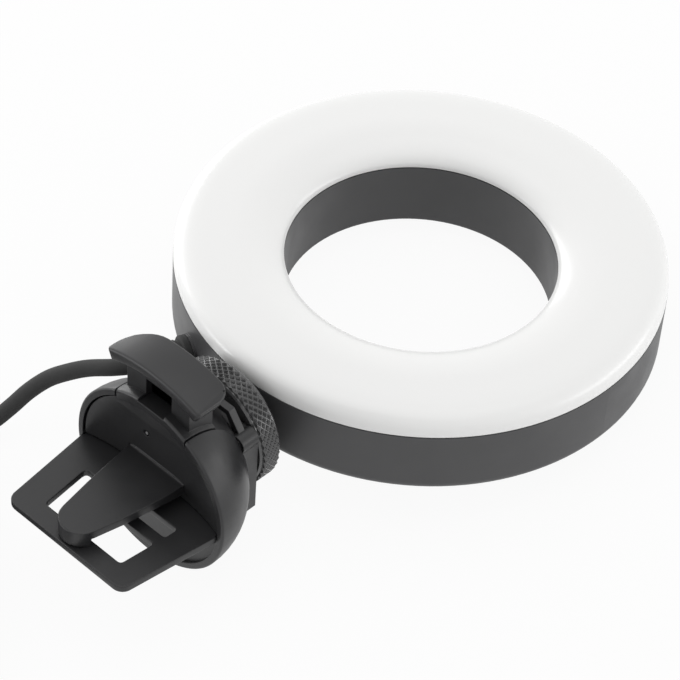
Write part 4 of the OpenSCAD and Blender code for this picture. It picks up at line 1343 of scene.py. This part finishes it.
@dataclass
class ScreenClip:
    """The clip: its round body, the slotted plate, the thumb lever with its tongue, the pin, the spring.

    Args:
        body_edge: Fillet of the round body, in mm as are all lengths here.
        plate_edge: Fillet of the plate.
        plate_from: How far out along the clip that fillet starts.
        tongue_edge: Fillet of the tongue.
        tongue_from: How far out that fillet starts.
        rim_edge: Fillet of the dished face's rim.
        dish_back: How far out the dished face's back is.
        plate_z: Depth of the plate's top under the ring's rim.
        pin_y: How far out the hinge pin is.
        pin_z: Depth of the pin under the rim.
        wire: Thickness of the spring's wire.
        spring_r: Radius of its coil, to the wire's middle.
        spring_half: Half the coil's length.
        spring_turns: Number of its turns.
        turn_points: Points in a turn.
        wind_from: Angle where the coil starts, in degrees.
        wind_over: What it winds past its turns, in degrees.
        hook: Where its leg passes the dished face, across and over the rim.
        hook_end: How far out the leg's end is.
    """

    body_edge: float = 0.18
    plate_edge: float = 0.3
    plate_from: float = 90.9
    tongue_edge: float = 0.3
    tongue_from: float = 91.2
    rim_edge: float = 0.25
    dish_back: float = 87.2
    plate_z: float = 12.9
    pin_y: float = 86.2
    pin_z: float = 10.6
    wire: float = 0.8
    spring_r: float = 1.75
    spring_half: float = 3.3
    spring_turns: float = 5.25
    turn_points: int = 24
    wind_from: float = 75.0
    wind_over: float = 15.0
    hook: Spot = (-3.3, -0.2)
    hook_end: float = 88.21

    def on_tongue(self, start: Vector, end: Vector) -> bool:
        """Whether an edge lies on the tongue in front of the dished face.

        Args:
            start: Its one end, in the ring's own frame.
            end: Its other end.

        Returns:
            True if both ends are in front of the face.
        """
        return max(start.y, end.y) < -self.tongue_from

    def on_plate(self, start: Vector, end: Vector) -> bool:
        """Whether an edge lies on the plate in front of the round body.

        Args:
            start: Its one end, in the ring's own frame.
            end: Its other end.

        Returns:
            True if both ends are in front of the body.
        """
        return max(start.y, end.y) < -self.plate_from

    def spring_line(self) -> list[Vector]:
        """The spring's centreline, in the clip's axis frame in mm."""
        (x0, y0), back, side, r = self.hook, self.dish_back, self.spring_half, self.spring_r
        pin, low = -self.pin_z, -self.plate_z
        line = [(x0, y0, self.hook_end), (x0, y0, back - 0.3), (x0, y0 - 0.25, back - 0.7)]
        line += [(x0, y0 - 0.8, back - 0.9), (-side, pin + 3, self.pin_y + 0.35)]
        line += [(-side, pin + 2.2, self.pin_y + 0.3)]
        count = int(self.spring_turns * self.turn_points)
        for i in range(count + 1):
            a = math.radians(self.wind_from + (360 * self.spring_turns + self.wind_over) * i / count)
            line.append((side * (2 * i / count - 1), pin + r * math.sin(a), self.pin_y + r * math.cos(a)))
        line += [(side, low + 1.1, self.pin_y - 2), (side, low + 0.6, self.pin_y - 2.5)]
        line += [(side, low + 0.55, self.pin_y - 3.8)]
        return [Vector(p) for p in line]

    def spring(self) -> bpy.types.Object:
        """Winds the torsion spring, whose one leg lies along the lever and whose other lies on the plate.

        Returns:
            The piece.
        """
        piece = round_wire("lever_spring", [p * MM for p in self.spring_line()], self.wire / 2 * MM, 3)
        take_up(piece)
        bpy.ops.object.convert(target="MESH")
        piece = bpy.context.object
        place = LYING.clip_axis(0)
        settle(piece, place)
        finish = SPRING_STEEL
        dress(piece, finish)
        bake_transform(piece)
        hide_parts("torsion_spring")
        LOG.info("piece %s from clip to jaw, finish %s, stands for torsion_spring", piece.name, finish.name)
        return piece

    def build(self) -> None:
        """Makes the clip's pieces."""
        body = (Rounding(self.body_edge, 2),)
        jaw = (Rounding(self.plate_edge, 2, self.on_plate, 60),)
        on_tongue = Rounding(self.tongue_edge, 2, self.on_tongue, 50)
        on_rim = Rounding(self.rim_edge, 2, DISHED_FACE.on_rim, 40)
        ShellCopy("clip_housing", "clip_body", "clip", CLIP_BLACK, body, merge=0.04).build()
        ShellCopy("fixed_jaw", "slotted_jaw", "clip", CLIP_BLACK, jaw, merge=0.03).build()
        LeverCopy("jaw_lever", "thumb_lever", "jaw", CLIP_BLACK, (on_tongue, on_rim), merge=0.05).build()
        ThumbPad().build()
        dress_node("hinge_pin", ZINC_STEEL)
        self.spring()


# The lead


def blend_point(a: Vector, b: Vector, c: Vector, d: Vector, t: float) -> Vector:
    """The point at share t of the smooth span from b to c."""
    return ((2 * b) + (c - a) * t + (2 * a - 5 * b + 4 * c - d) * t * t + (3 * b - a - 3 * c + d) * t**3) / 2


def smooth_line(points: Sequence[Vector], steps: int) -> list[Vector]:
    """A smooth line through the points.

    Args:
        points: The points that it passes.
        steps: Spans between neighbours.

    Returns:
        The finer points.
    """
    last = len(points) - 1
    line = [
        blend_point(points[max(i - 1, 0)], points[i], points[i + 1], points[min(i + 2, last)], j / steps)
        for i in range(last)
        for j in range(steps)
    ]
    return [*line, points[last]]


def line_length(line: Sequence[Vector]) -> float:
    """The length of a line through points."""
    return sum((b - a).length for a, b in zip(line, line[1:]))


def round_wire(name: str, line: Sequence[Vector], radius: float, fineness: int) -> bpy.types.Object:
    """A round wire or cord along a line, as a curve of one open spline.

    Args:
        name: The piece's name.
        line: Its centreline, in metres.
        radius: Its radius, in metres.
        fineness: Points in each quarter of its round.

    Returns:
        The piece.
    """
    curve = bpy.data.curves.new(name, "CURVE")
    curve.dimensions = "3D"
    curve.bevel_depth = radius
    curve.bevel_resolution = fineness
    curve.use_fill_caps = True
    spline = curve.splines.new("POLY")
    spline.points.add(len(line) - 1)
    for spot, place in zip(spline.points, line):
        spot.co = (*place, 1.0)
    spline.use_smooth = True
    piece = bpy.data.objects.new(name, curve)
    bpy.context.scene.collection.objects.link(piece)
    return piece


@dataclass
class Lead:
    """The lead: from the ring to the controller, and from there through the coil to the plug.

    Args:
        thickness: Its thickness, in mm as are all lengths here.
        relief_end: Distance of the strain relief's end from the ring's centre.
        relief_angle: Angle between the relief and the clip, in degrees.
        relief_z: Depth of the relief's axis under the rim.
        controller_middle: The controller's middle, at the height of the lead's holes.
        controller_reach: Distance of those holes from the middle.
        coil_middle: The coil's middle on the table.
        coil_out: Radius of the coil's outermost turn.
        coil_step: How much a turn changes the radius, and how much higher its second layer lies.
        coil_start: Angle where the coil starts, in degrees.
        coil_angle: The whole angle that it turns, in degrees.
        coil_low: Height of its first layer.
        route_from: The point that the first route was set from.
        route: Points from the relief to the controller.
        middle_route: Points from the controller to the coil.
        tail_route: Points from the coil to the plug.
        coil_points: Spans along the coil.
        span_points: Spans between two points of a route.
    """

    thickness: float = 4.2
    relief_end: float = 69.6
    relief_angle: float = 22.0
    relief_z: float = 9.8
    controller_middle: Point = (*CONTROLLER_SPOT, 4.8)
    controller_reach: float = 32.5
    coil_middle: Spot = (-79.0, -121.0)
    coil_out: float = 32.0
    coil_step: float = 4.65
    coil_start: float = -70.0
    coil_angle: float = 2990.0
    coil_low: float = 2.65
    route_from: Point = (-27.65, -39.92, 22.94)
    route: tuple[Point, ...] = (
        (-31, -44, 23),
        (-37, -47, 20.5),
        (-41.5, -50, 18),
        (-45.5, -53, 15),
        (-48.5, -57, 11.5),
        (-50.5, -61.5, 8),
        (-52, -66.5, 5.7),
        (-54, -72, 4),
        (-55, -77.5, 3.8),
    )
    middle_route: tuple[Point, ...] = (
        (8, -135, 3.5),
        (13, -141, 2.5),
        (14, -148, 2.1),
        (9, -154, 2.1),
        (1, -157, 2.1),
        (-10, -157.5, 2.1),
        (-22, -156, 2.1),
        (-35, -153, 2.1),
        (-48, -150, 2.1),
    )
    tail_route: tuple[Point, ...] = (
        (-111, -106, 6.4),
        (-111, -99.5, 4.9),
        (-111, -93, 4),
        PLUG_START,
    )
    coil_points: int = 800
    span_points: int = 6

    def relief_point(self, out: float) -> Vector:
        """The point on the strain relief's axis at a distance from the ring's centre."""
        a = math.radians(self.relief_angle)
        return LYING.laid(-out * math.sin(a), -out * math.cos(a), -self.relief_z)

    def controller_end(self, side: Side, off: float) -> Vector:
        """A point off one end of the controller, on its axis."""
        a = math.radians(CONTROLLER_TURN)
        way = Vector((math.cos(a), math.sin(a), 0)) * side.value
        return Vector(self.controller_middle) + way * (self.controller_reach + off)

    def coil_point(self, turned_by: float) -> Vector:
        """A point of the coil after it has turned by an angle.

        Args:
            turned_by: Degrees from the coil's start.

        Returns:
            The point, in mm.
        """
        half = self.coil_angle / 2
        radius = self.coil_out - self.coil_step * (half - abs(turned_by - half)) / 360
        share = min(1.0, max(0.0, (turned_by - half) / 180 + 0.5))
        rise = share * share * (3 - 2 * share)
        a = math.radians(self.coil_start - turned_by)
        x, y = self.coil_middle
        height = self.coil_low + self.coil_step * rise
        return Vector((x + radius * math.cos(a), y + radius * math.sin(a), height))

    def ring_line(self) -> list[Vector]:
        """The points from the strain relief to the controller, in mm."""
        d = self.thickness
        start = self.relief_point(self.relief_end + d)
        off = start - Vector(self.route_from)
        count = len(self.route)
        points = [self.relief_point(self.relief_end), start]
        points += [Vector(p) + off * (1 - (i + 1) / count) for i, p in enumerate(self.route)]
        points += [self.controller_end(Side.RING, d), self.controller_end(Side.RING, 0)]
        return smooth_line(points, self.span_points)

    def plug_line(self) -> list[Vector]:
        """The points from the controller through the coil to the plug, in mm."""
        d = self.thickness
        count = self.coil_points
        turns = [self.coil_point(self.coil_angle * i / count) for i in range(count + 1)]
        a = math.radians(self.coil_start)
        heading = Vector((math.sin(a), -math.cos(a), 0))
        first = turns[0] - heading * d
        last = turns[-1] + Vector((0, d, 0))
        before = [self.controller_end(Side.PLUG, 0), self.controller_end(Side.PLUG, d)]
        before += [Vector(p) for p in self.middle_route] + [first - heading * d, first]
        after = [last, last + Vector((0, d, 0))] + [Vector(p) for p in self.tail_route]
        return smooth_line(before, self.span_points) + turns + smooth_line(after, self.span_points)

    def stretch(self, name: str, line: Sequence[Vector], *hidden: str) -> bpy.types.Object:
        """Makes one stretch of the lead.

        Args:
            name: The piece's name.
            line: Its centreline, in mm.
            hidden: The CAD nodes that it stands for.

        Returns:
            The piece.
        """
        piece = round_wire(name, [p * MM for p in line], self.thickness / 2 * MM, 5)
        return hand_over(piece, "ring", BLACK_PVC, *hidden)

    def build(self, controller: Sequence[bpy.types.Object], plug: Sequence[bpy.types.Object]) -> None:
        """Args:
            controller: The controller's pieces and nodes.
            plug: The plug's pieces and nodes, and the coil's tie; not used.
        """
        near = self.ring_line()
        far = self.plug_line()
        lamp = self.stretch("lamp_lead", near, "cord_lead")
        supply = self.stretch("supply_lead", far, "cord_mid", "cord_coil", "cord_tail")
        line_length(near) * MM
        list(controller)
        line_length(far) * MM
        LOG.info("lead: %.0f mm and %.0f mm", line_length(near), line_length(far))


@dataclass
class Controller:
    """The inline controller: two half shells, four buttons with raised signs and the board inside.

    Args:
        middle: Its middle on the table, in mm as are all lengths here.
        height: Its height.
        half_length: Half its length.
        half_width: Half its width.
        side_band: How far from its long sides an edge still counts as the rim.
        end_band: How far from its ends an edge still counts as the rim.
        slack: How far a point may be from the top or the bottom and still be on it.
        edge: Fillet of its rims.
        button_proud: How far the buttons stand out.
        dish: Depth of the hollow in a button.
        sign_r: Radius of a sign.
        sign_w: Width of its strokes.
        sign_h: Their height.
        sign_edge: Bevel of a straight stroke.
        sign_sunk: How much of their height is sunk in the button.
        buttons: Each button's place along the axis, its body and its sign.
        button_nodes: The buttons' CAD nodes.
    """

    middle: Point = (*CONTROLLER_SPOT, 0.0)
    height: float = 9.6
    half_length: float = 30.0
    half_width: float = 9.5
    side_band: float = 0.4
    end_band: float = 5.2
    slack: float = 0.05
    edge: float = 0.9
    button_proud: float = 1.1
    dish: float = 0.4
    sign_r: float = 1.25
    sign_w: float = 0.34
    sign_h: float = 0.34
    sign_edge: float = 0.08
    sign_sunk: float = 0.2
    buttons: tuple[tuple[float, str, Sign], ...] = (
        (-18.0, "power_key", Sign.POWER),
        (-6.0, "mode_key", Sign.COLOUR),
        (6.0, "plus_key", Sign.PLUS),
        (18.0, "minus_key", Sign.MINUS),
    )
    button_nodes: tuple[str, ...] = ("power_button", "mode_button", "plus_button", "minus_button")

    def place(self, along: float, height: float) -> Matrix:
        """A place on the controller's axis at a height over the table, in metres."""
        turn = Matrix.Rotation(math.radians(CONTROLLER_TURN), 4, "Z")
        middle, spot = Vector(self.middle) * MM, Vector((along, 0, height)) * MM
        return Matrix.Translation(middle) @ turn @ Matrix.Translation(spot)

    def on_outer_edge(self, start: Vector, end: Vector) -> bool:
        """Whether an edge is on the case's top or bottom rim.

        Args:
            start: Its one end, in the ring's own frame.
            end: Its other end.

        Returns:
            True if both ends are at the case's outer top or bottom.
        """
        back = self.place(0, 0).inverted()
        for point in (start, end):
            p = back @ (LYING.matrix() @ (point * MM)) / MM
            on_side = abs(p.y) > self.half_width - self.side_band
            on_end = abs(p.x) > self.half_length - self.end_band
            if not (on_side or on_end) or self.slack < p.z < self.height - self.slack:
                return False
        return True

    def shells(self) -> list[bpy.types.Object]:
        """Makes the two half shells.

        Returns:
            The pieces.
        """
        rims = (Rounding(self.edge, 4, self.on_outer_edge, 60),)
        lower = ShellCopy("controller_bottom", "controller_lower", "ring", CONTROLLER_BLACK, rims, merge=0.03)
        upper = ShellCopy("controller_top", "controller_upper", "ring", CONTROLLER_BLACK, rims, merge=0.03)
        return [lower.build(), upper.build()]

    def bar(self, long: float, wide: float, out: float = 0.0) -> bpy.types.Object:
        """A straight bar of the sign's height, its middle a distance out."""
        return block("sign_bar", (long, wide, self.sign_h), (0, out, self.sign_h / 2), self.sign_edge)

    def arc(self, angle: float) -> bpy.types.Object:
        """A round bar of the sign's radius, turned through an angle."""
        r, w, h = self.sign_r, self.sign_w / 2, self.sign_h
        corner = 0.1
        outline = [(r - w, 0.0), (r + w, 0.0), (r + w, h - corner), (r + w - corner, h), (r - w + corner, h)]
        return turned("sign_arc", [*outline, (r - w, h - corner)], 40, angle)

    def sign(self, sign: Sign) -> bpy.types.Object:
        """Makes one sign round the origin.

        Args:
            sign: Which one.

        Returns:
            The piece.
        """
        r, w, h = self.sign_r, self.sign_w, self.sign_h
        if sign is Sign.MINUS:
            return self.bar(2 * r, w)
        if sign is Sign.PLUS:
            return joined("sign", [self.bar(2 * r, w), self.bar(w, 2 * r)])
        if sign is Sign.POWER:
            bow = self.arc(290)
            settle(bow, Matrix.Rotation(math.radians(125), 4, "Z"))
            return joined("sign", [bow, self.bar(w, r, 0.75 * r)])
        full, top = 0.72 * r, 0.64 * r
        half = turned("sign_half", [(0.0, 0.0), (full, 0.0), (full, h - 0.1), (top, h), (0.0, h)], 20, 180)
        return joined("sign", [self.arc(360), half])

    def build(self) -> list[bpy.types.Object]:
        """Makes the controller's pieces and dresses its CAD nodes.

        Returns:
            The pieces and the nodes.
        """
        pieces = self.shells()
        low = self.height + self.button_proud - self.dish - self.sign_sunk
        for along, key, sign in self.buttons:
            piece = self.sign(sign)
            piece.name = f"{sign.value}_sign"
            settle(piece, self.place(along, low) @ Matrix.Rotation(math.pi / 2, 4, "Z"))
            smooth(piece)
            pieces.append(hand_over(piece, key, SIGN_PAINT))
        pieces += [dress_node("controller_board", GREEN_BOARD), dress_node("tact_switches", ZINC_STEEL)]
        return pieces + [dress_node(name, BUTTON_PLASTIC) for name in self.button_nodes]


@dataclass
class CoilTie:
    """The woven strap that holds the coil.

    Args:
        edge: Fillet of its edges, in mm.
    """

    edge: float = 0.12

    def build(self) -> bpy.types.Object:
        """Makes the strap round the turns where the CAD's strap is.

        Returns:
            The piece.
        """
        edges = (Rounding(self.edge, 2, least=60),)
        return ShellCopy("cord_tie", "coil_tie", "ring", TIE_TAPE, edges).build()


@dataclass
class Plug:
    """The USB plug: its grooved overmould, nickelled shell, insulator and contacts.

    Args:
        start: Where the lead enters it, in mm as are all lengths here.
        half_height: Half the overmould's height.
        grip_edge: Fillet of the overmould.
        sheath_edge: Fillet of the shell.
        groove: Sides of the bar that cuts a finger groove.
        grooves: Number of grooves on a face.
        groove_first: Distance of the first groove from the start.
        groove_pitch: Distance between grooves.
    """

    start: Point = PLUG_START
    half_height: float = 4.0
    grip_edge: float = 0.3
    sheath_edge: float = 0.07
    groove: Point = (9.0, 0.8, 0.7)
    grooves: int = 4
    groove_first: float = 10.5
    groove_pitch: float = 1.8

    def overmould(self) -> bpy.types.Object:
        """Copies the overmould, rounds its edges and cuts the finger grooves into its two flat faces.

        Returns:
            The piece.
        """
        edges = (Rounding(self.grip_edge, 2, least=60),)
        piece = ShellCopy("plug_overmould", "plug_grip", "ring", BLACK_PVC, edges, merge=0.03).build()
        x, y, z = self.start
        for side in (-1, 1):
            for i in range(self.grooves):
                middle = (x, y + self.groove_first + self.groove_pitch * i, z + side * self.half_height)
                carved(piece, block("groove", self.groove, middle, 0.2))
        smooth(piece)
        return piece

    def build(self) -> list[bpy.types.Object]:
        """Makes the plug's pieces and dresses its CAD nodes.

        Returns:
            The pieces and the nodes.
        """
        grip = self.overmould()
        edges = (Rounding(self.sheath_edge, 2, least=60),)
        sheath = ShellCopy("plug_shell", "plug_sheath", "ring", NICKEL_SHEET, edges).build()
        return [grip, sheath, dress_node("plug_insulator", NYLON), dress_node("plug_contacts", GOLD_FLASH)]


@dataclass
class StrainRelief:
    """The ribbed relief that holds the lead in the ring's wall.

    Args:
        edge: Fillet of its ribs, in mm.
    """

    edge: float = 0.1

    def build(self) -> bpy.types.Object:
        """Copies the relief and softens its ribs.

        Returns:
            The piece.
        """
        edges = (Rounding(self.edge, 1, least=30),)
        return ShellCopy("strain_relief", "lead_relief", "ring", BLACK_PVC, edges).build()


# Studio


@dataclass(frozen=True)
class SoftBox:
    """A soft box lamp.

    Args:
        name: Its name.
        place: Its middle, in metres.
        size: Its width and height, in metres.
        power: Its power, in watts.
    """

    name: str
    place: Point
    size: Spot
    power: float

    def hang(self, aim: Point) -> None:
        """Adds the lamp, turned to a point.

        Args:
            aim: The point that it faces, in metres.
        """
        data = bpy.data.lights.new(self.name, "AREA")
        data.shape = "RECTANGLE"
        data.size, data.size_y = self.size
        data.energy = self.power
        box = bpy.data.objects.new(self.name, data)
        bpy.context.scene.collection.objects.link(box)
        box.location = self.place
        box.rotation_mode = "QUATERNION"
        box.rotation_quaternion = (Vector(self.place) - Vector(aim)).to_track_quat("Z", "Y")


@dataclass
class Studio:
    """Camera, lamps, floor and surroundings.

    Args:
        camera_at: The camera's place, in metres.
        camera_x: The direction of the picture's right side.
        camera_y: The direction of its upper side.
        camera_z: The direction from the light to the camera.
        focal_px: Focal length in the photograph's pixels.
        photo_px: The photograph's width in pixels.
        sensor: The sensor's width, in mm.
        ambient: Strength of the white room as a light.
        shadow: Share of the floor's own shading that the camera sees.
        floor_side: The floor's side, in metres.
        floor_at: The floor's middle, in metres.
        aim: The point that every lamp faces, in metres.
        boxes: The lamps.
    """

    camera_at: Point = (0.334890, -0.322829, 0.564621)
    camera_x: Point = (0.719713, 0.693599, -0.03055)
    camera_y: Point = (-0.513889, 0.561791, 0.648312)
    camera_z: Point = (0.466831, -0.4509, 0.760761)
    focal_px: float = 3000.0
    photo_px: float = 680.0
    sensor: float = 36.0
    ambient: float = 0.65
    shadow: float = 0.07
    floor_side: float = 4.0
    floor_at: Point = (0.0, 0.0, -0.0002)
    aim: Point = (0.0, 0.0, 0.02)
    boxes: tuple[SoftBox, ...] = (
        SoftBox("left_box", (-0.98, 0.15, 0.24), (0.8, 0.4), 4.1),
        SoftBox("front_box", (-0.6, -0.75, 0.12), (0.5, 0.3), 2.0),
        SoftBox("right_box", (0.75, 0.6, 0.16), (0.8, 0.3), 2.2),
        SoftBox("top_box", (-0.1, 0.2, 1.1), (0.9, 0.9), 2.1),
    )

    def camera(self) -> None:
        """Places the camera at the photograph's view."""
        data = bpy.data.cameras.new("photo_view")
        data.sensor_width = self.sensor
        data.lens = self.focal_px / self.photo_px * self.sensor
        data.clip_start, data.clip_end = 0.05, 10.0
        eye = bpy.data.objects.new("photo_view", data)
        bpy.context.scene.collection.objects.link(eye)
        turn = Matrix((self.camera_x, self.camera_y, self.camera_z)).transposed()
        eye.matrix_world = Matrix.Translation(self.camera_at) @ turn.to_4x4()
        bpy.context.scene.camera = eye

    def seen(self, tree: bpy.types.NodeTree, at: Spot) -> bpy.types.NodeSocket:
        """One where the camera looks, straight, by a reflection or through glass, else nought.

        Args:
            tree: The tree of a world or of a floor.
            at: Where the nodes stand in it.

        Returns:
            The socket with the mask.
        """
        path = new_node(tree, "ShaderNodeLightPath", at)
        mask = path.outputs["Is Camera Ray"]
        for i, ray in enumerate(("Is Glossy Ray", "Is Transmission Ray")):
            both = new_node(tree, "ShaderNodeMath", (at[0] + 180 * (i + 1), at[1]), operation="MAXIMUM")
            link(tree, mask, both.inputs[0])
            link(tree, path.outputs[ray], both.inputs[1])
            mask = both.outputs[0]
        return mask

    def surroundings(self) -> None:
        """A white world: full white to the camera, softer as light."""
        world = bpy.data.worlds.new("white_room")
        bpy.context.scene.world = world
        world.use_nodes = True
        tree = world.node_tree
        tree.nodes.clear()
        out = new_node(tree, "ShaderNodeOutputWorld", (500, 0))
        seen = new_node(tree, "ShaderNodeBackground", (0, 120), Strength=1.0)
        seen.inputs["Color"].default_value = (1, 1, 1, 1)
        light = new_node(tree, "ShaderNodeBackground", (0, -80), Strength=self.ambient)
        light.inputs["Color"].default_value = (1, 1, 1, 1)
        mix = new_node(tree, "ShaderNodeMixShader", (280, 0))
        link(tree, self.seen(tree, (-600, 300)), mix.inputs[0])
        link(tree, light.outputs[0], mix.inputs[1])
        link(tree, seen.outputs[0], mix.inputs[2])
        link(tree, mix.outputs[0], out.inputs["Surface"])

    def floor(self) -> None:
        """A white floor that keeps a faint shadow."""
        deselect_all()
        bpy.ops.mesh.primitive_plane_add(size=self.floor_side, location=self.floor_at)
        floor = bpy.context.object
        floor.name = "floor"
        material = bpy.data.materials.new("white_floor")
        material.use_nodes = True
        tree = material.node_tree
        tree.nodes.clear()
        out = new_node(tree, "ShaderNodeOutputMaterial", (600, 0))
        matt = new_node(tree, "ShaderNodeBsdfDiffuse", (-200, -100))
        matt.inputs["Color"].default_value = (0.9, 0.9, 0.9, 1)
        white = new_node(tree, "ShaderNodeEmission", (-200, 100), Strength=1.0)
        seen = new_node(tree, "ShaderNodeMixShader", (100, 60))
        seen.inputs[0].default_value = self.shadow
        link(tree, white.outputs[0], seen.inputs[1])
        link(tree, matt.outputs[0], seen.inputs[2])
        pick = new_node(tree, "ShaderNodeMixShader", (350, 0))
        link(tree, self.seen(tree, (-600, 300)), pick.inputs[0])
        link(tree, matt.outputs[0], pick.inputs[1])
        link(tree, seen.outputs[0], pick.inputs[2])
        link(tree, pick.outputs[0], out.inputs["Surface"])
        floor.data.materials.append(material)

    def build(self) -> None:
        """Sets up the room, its lamps and how colours are shown."""
        bpy.context.scene.view_settings.view_transform = "Standard"
        self.surroundings()
        for box in self.boxes:
            box.hang(self.aim)
        self.floor()


def main() -> None:
    """Builds the studio's camera, the lead with all that is on it, the clip, the ring and the room."""
    logging.basicConfig(level=logging.INFO, format="%(message)s")
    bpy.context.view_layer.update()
    studio = Studio()
    studio.camera()
    controller = Controller().build()
    plug = Plug().build()
    Lead().build(controller, [*plug, CoilTie().build()])
    StrainRelief().build()
    RingHead().build()
    BallJoint().build()
    ScreenClip().build()
    studio.build()


if __name__ == "__main__":
    main()
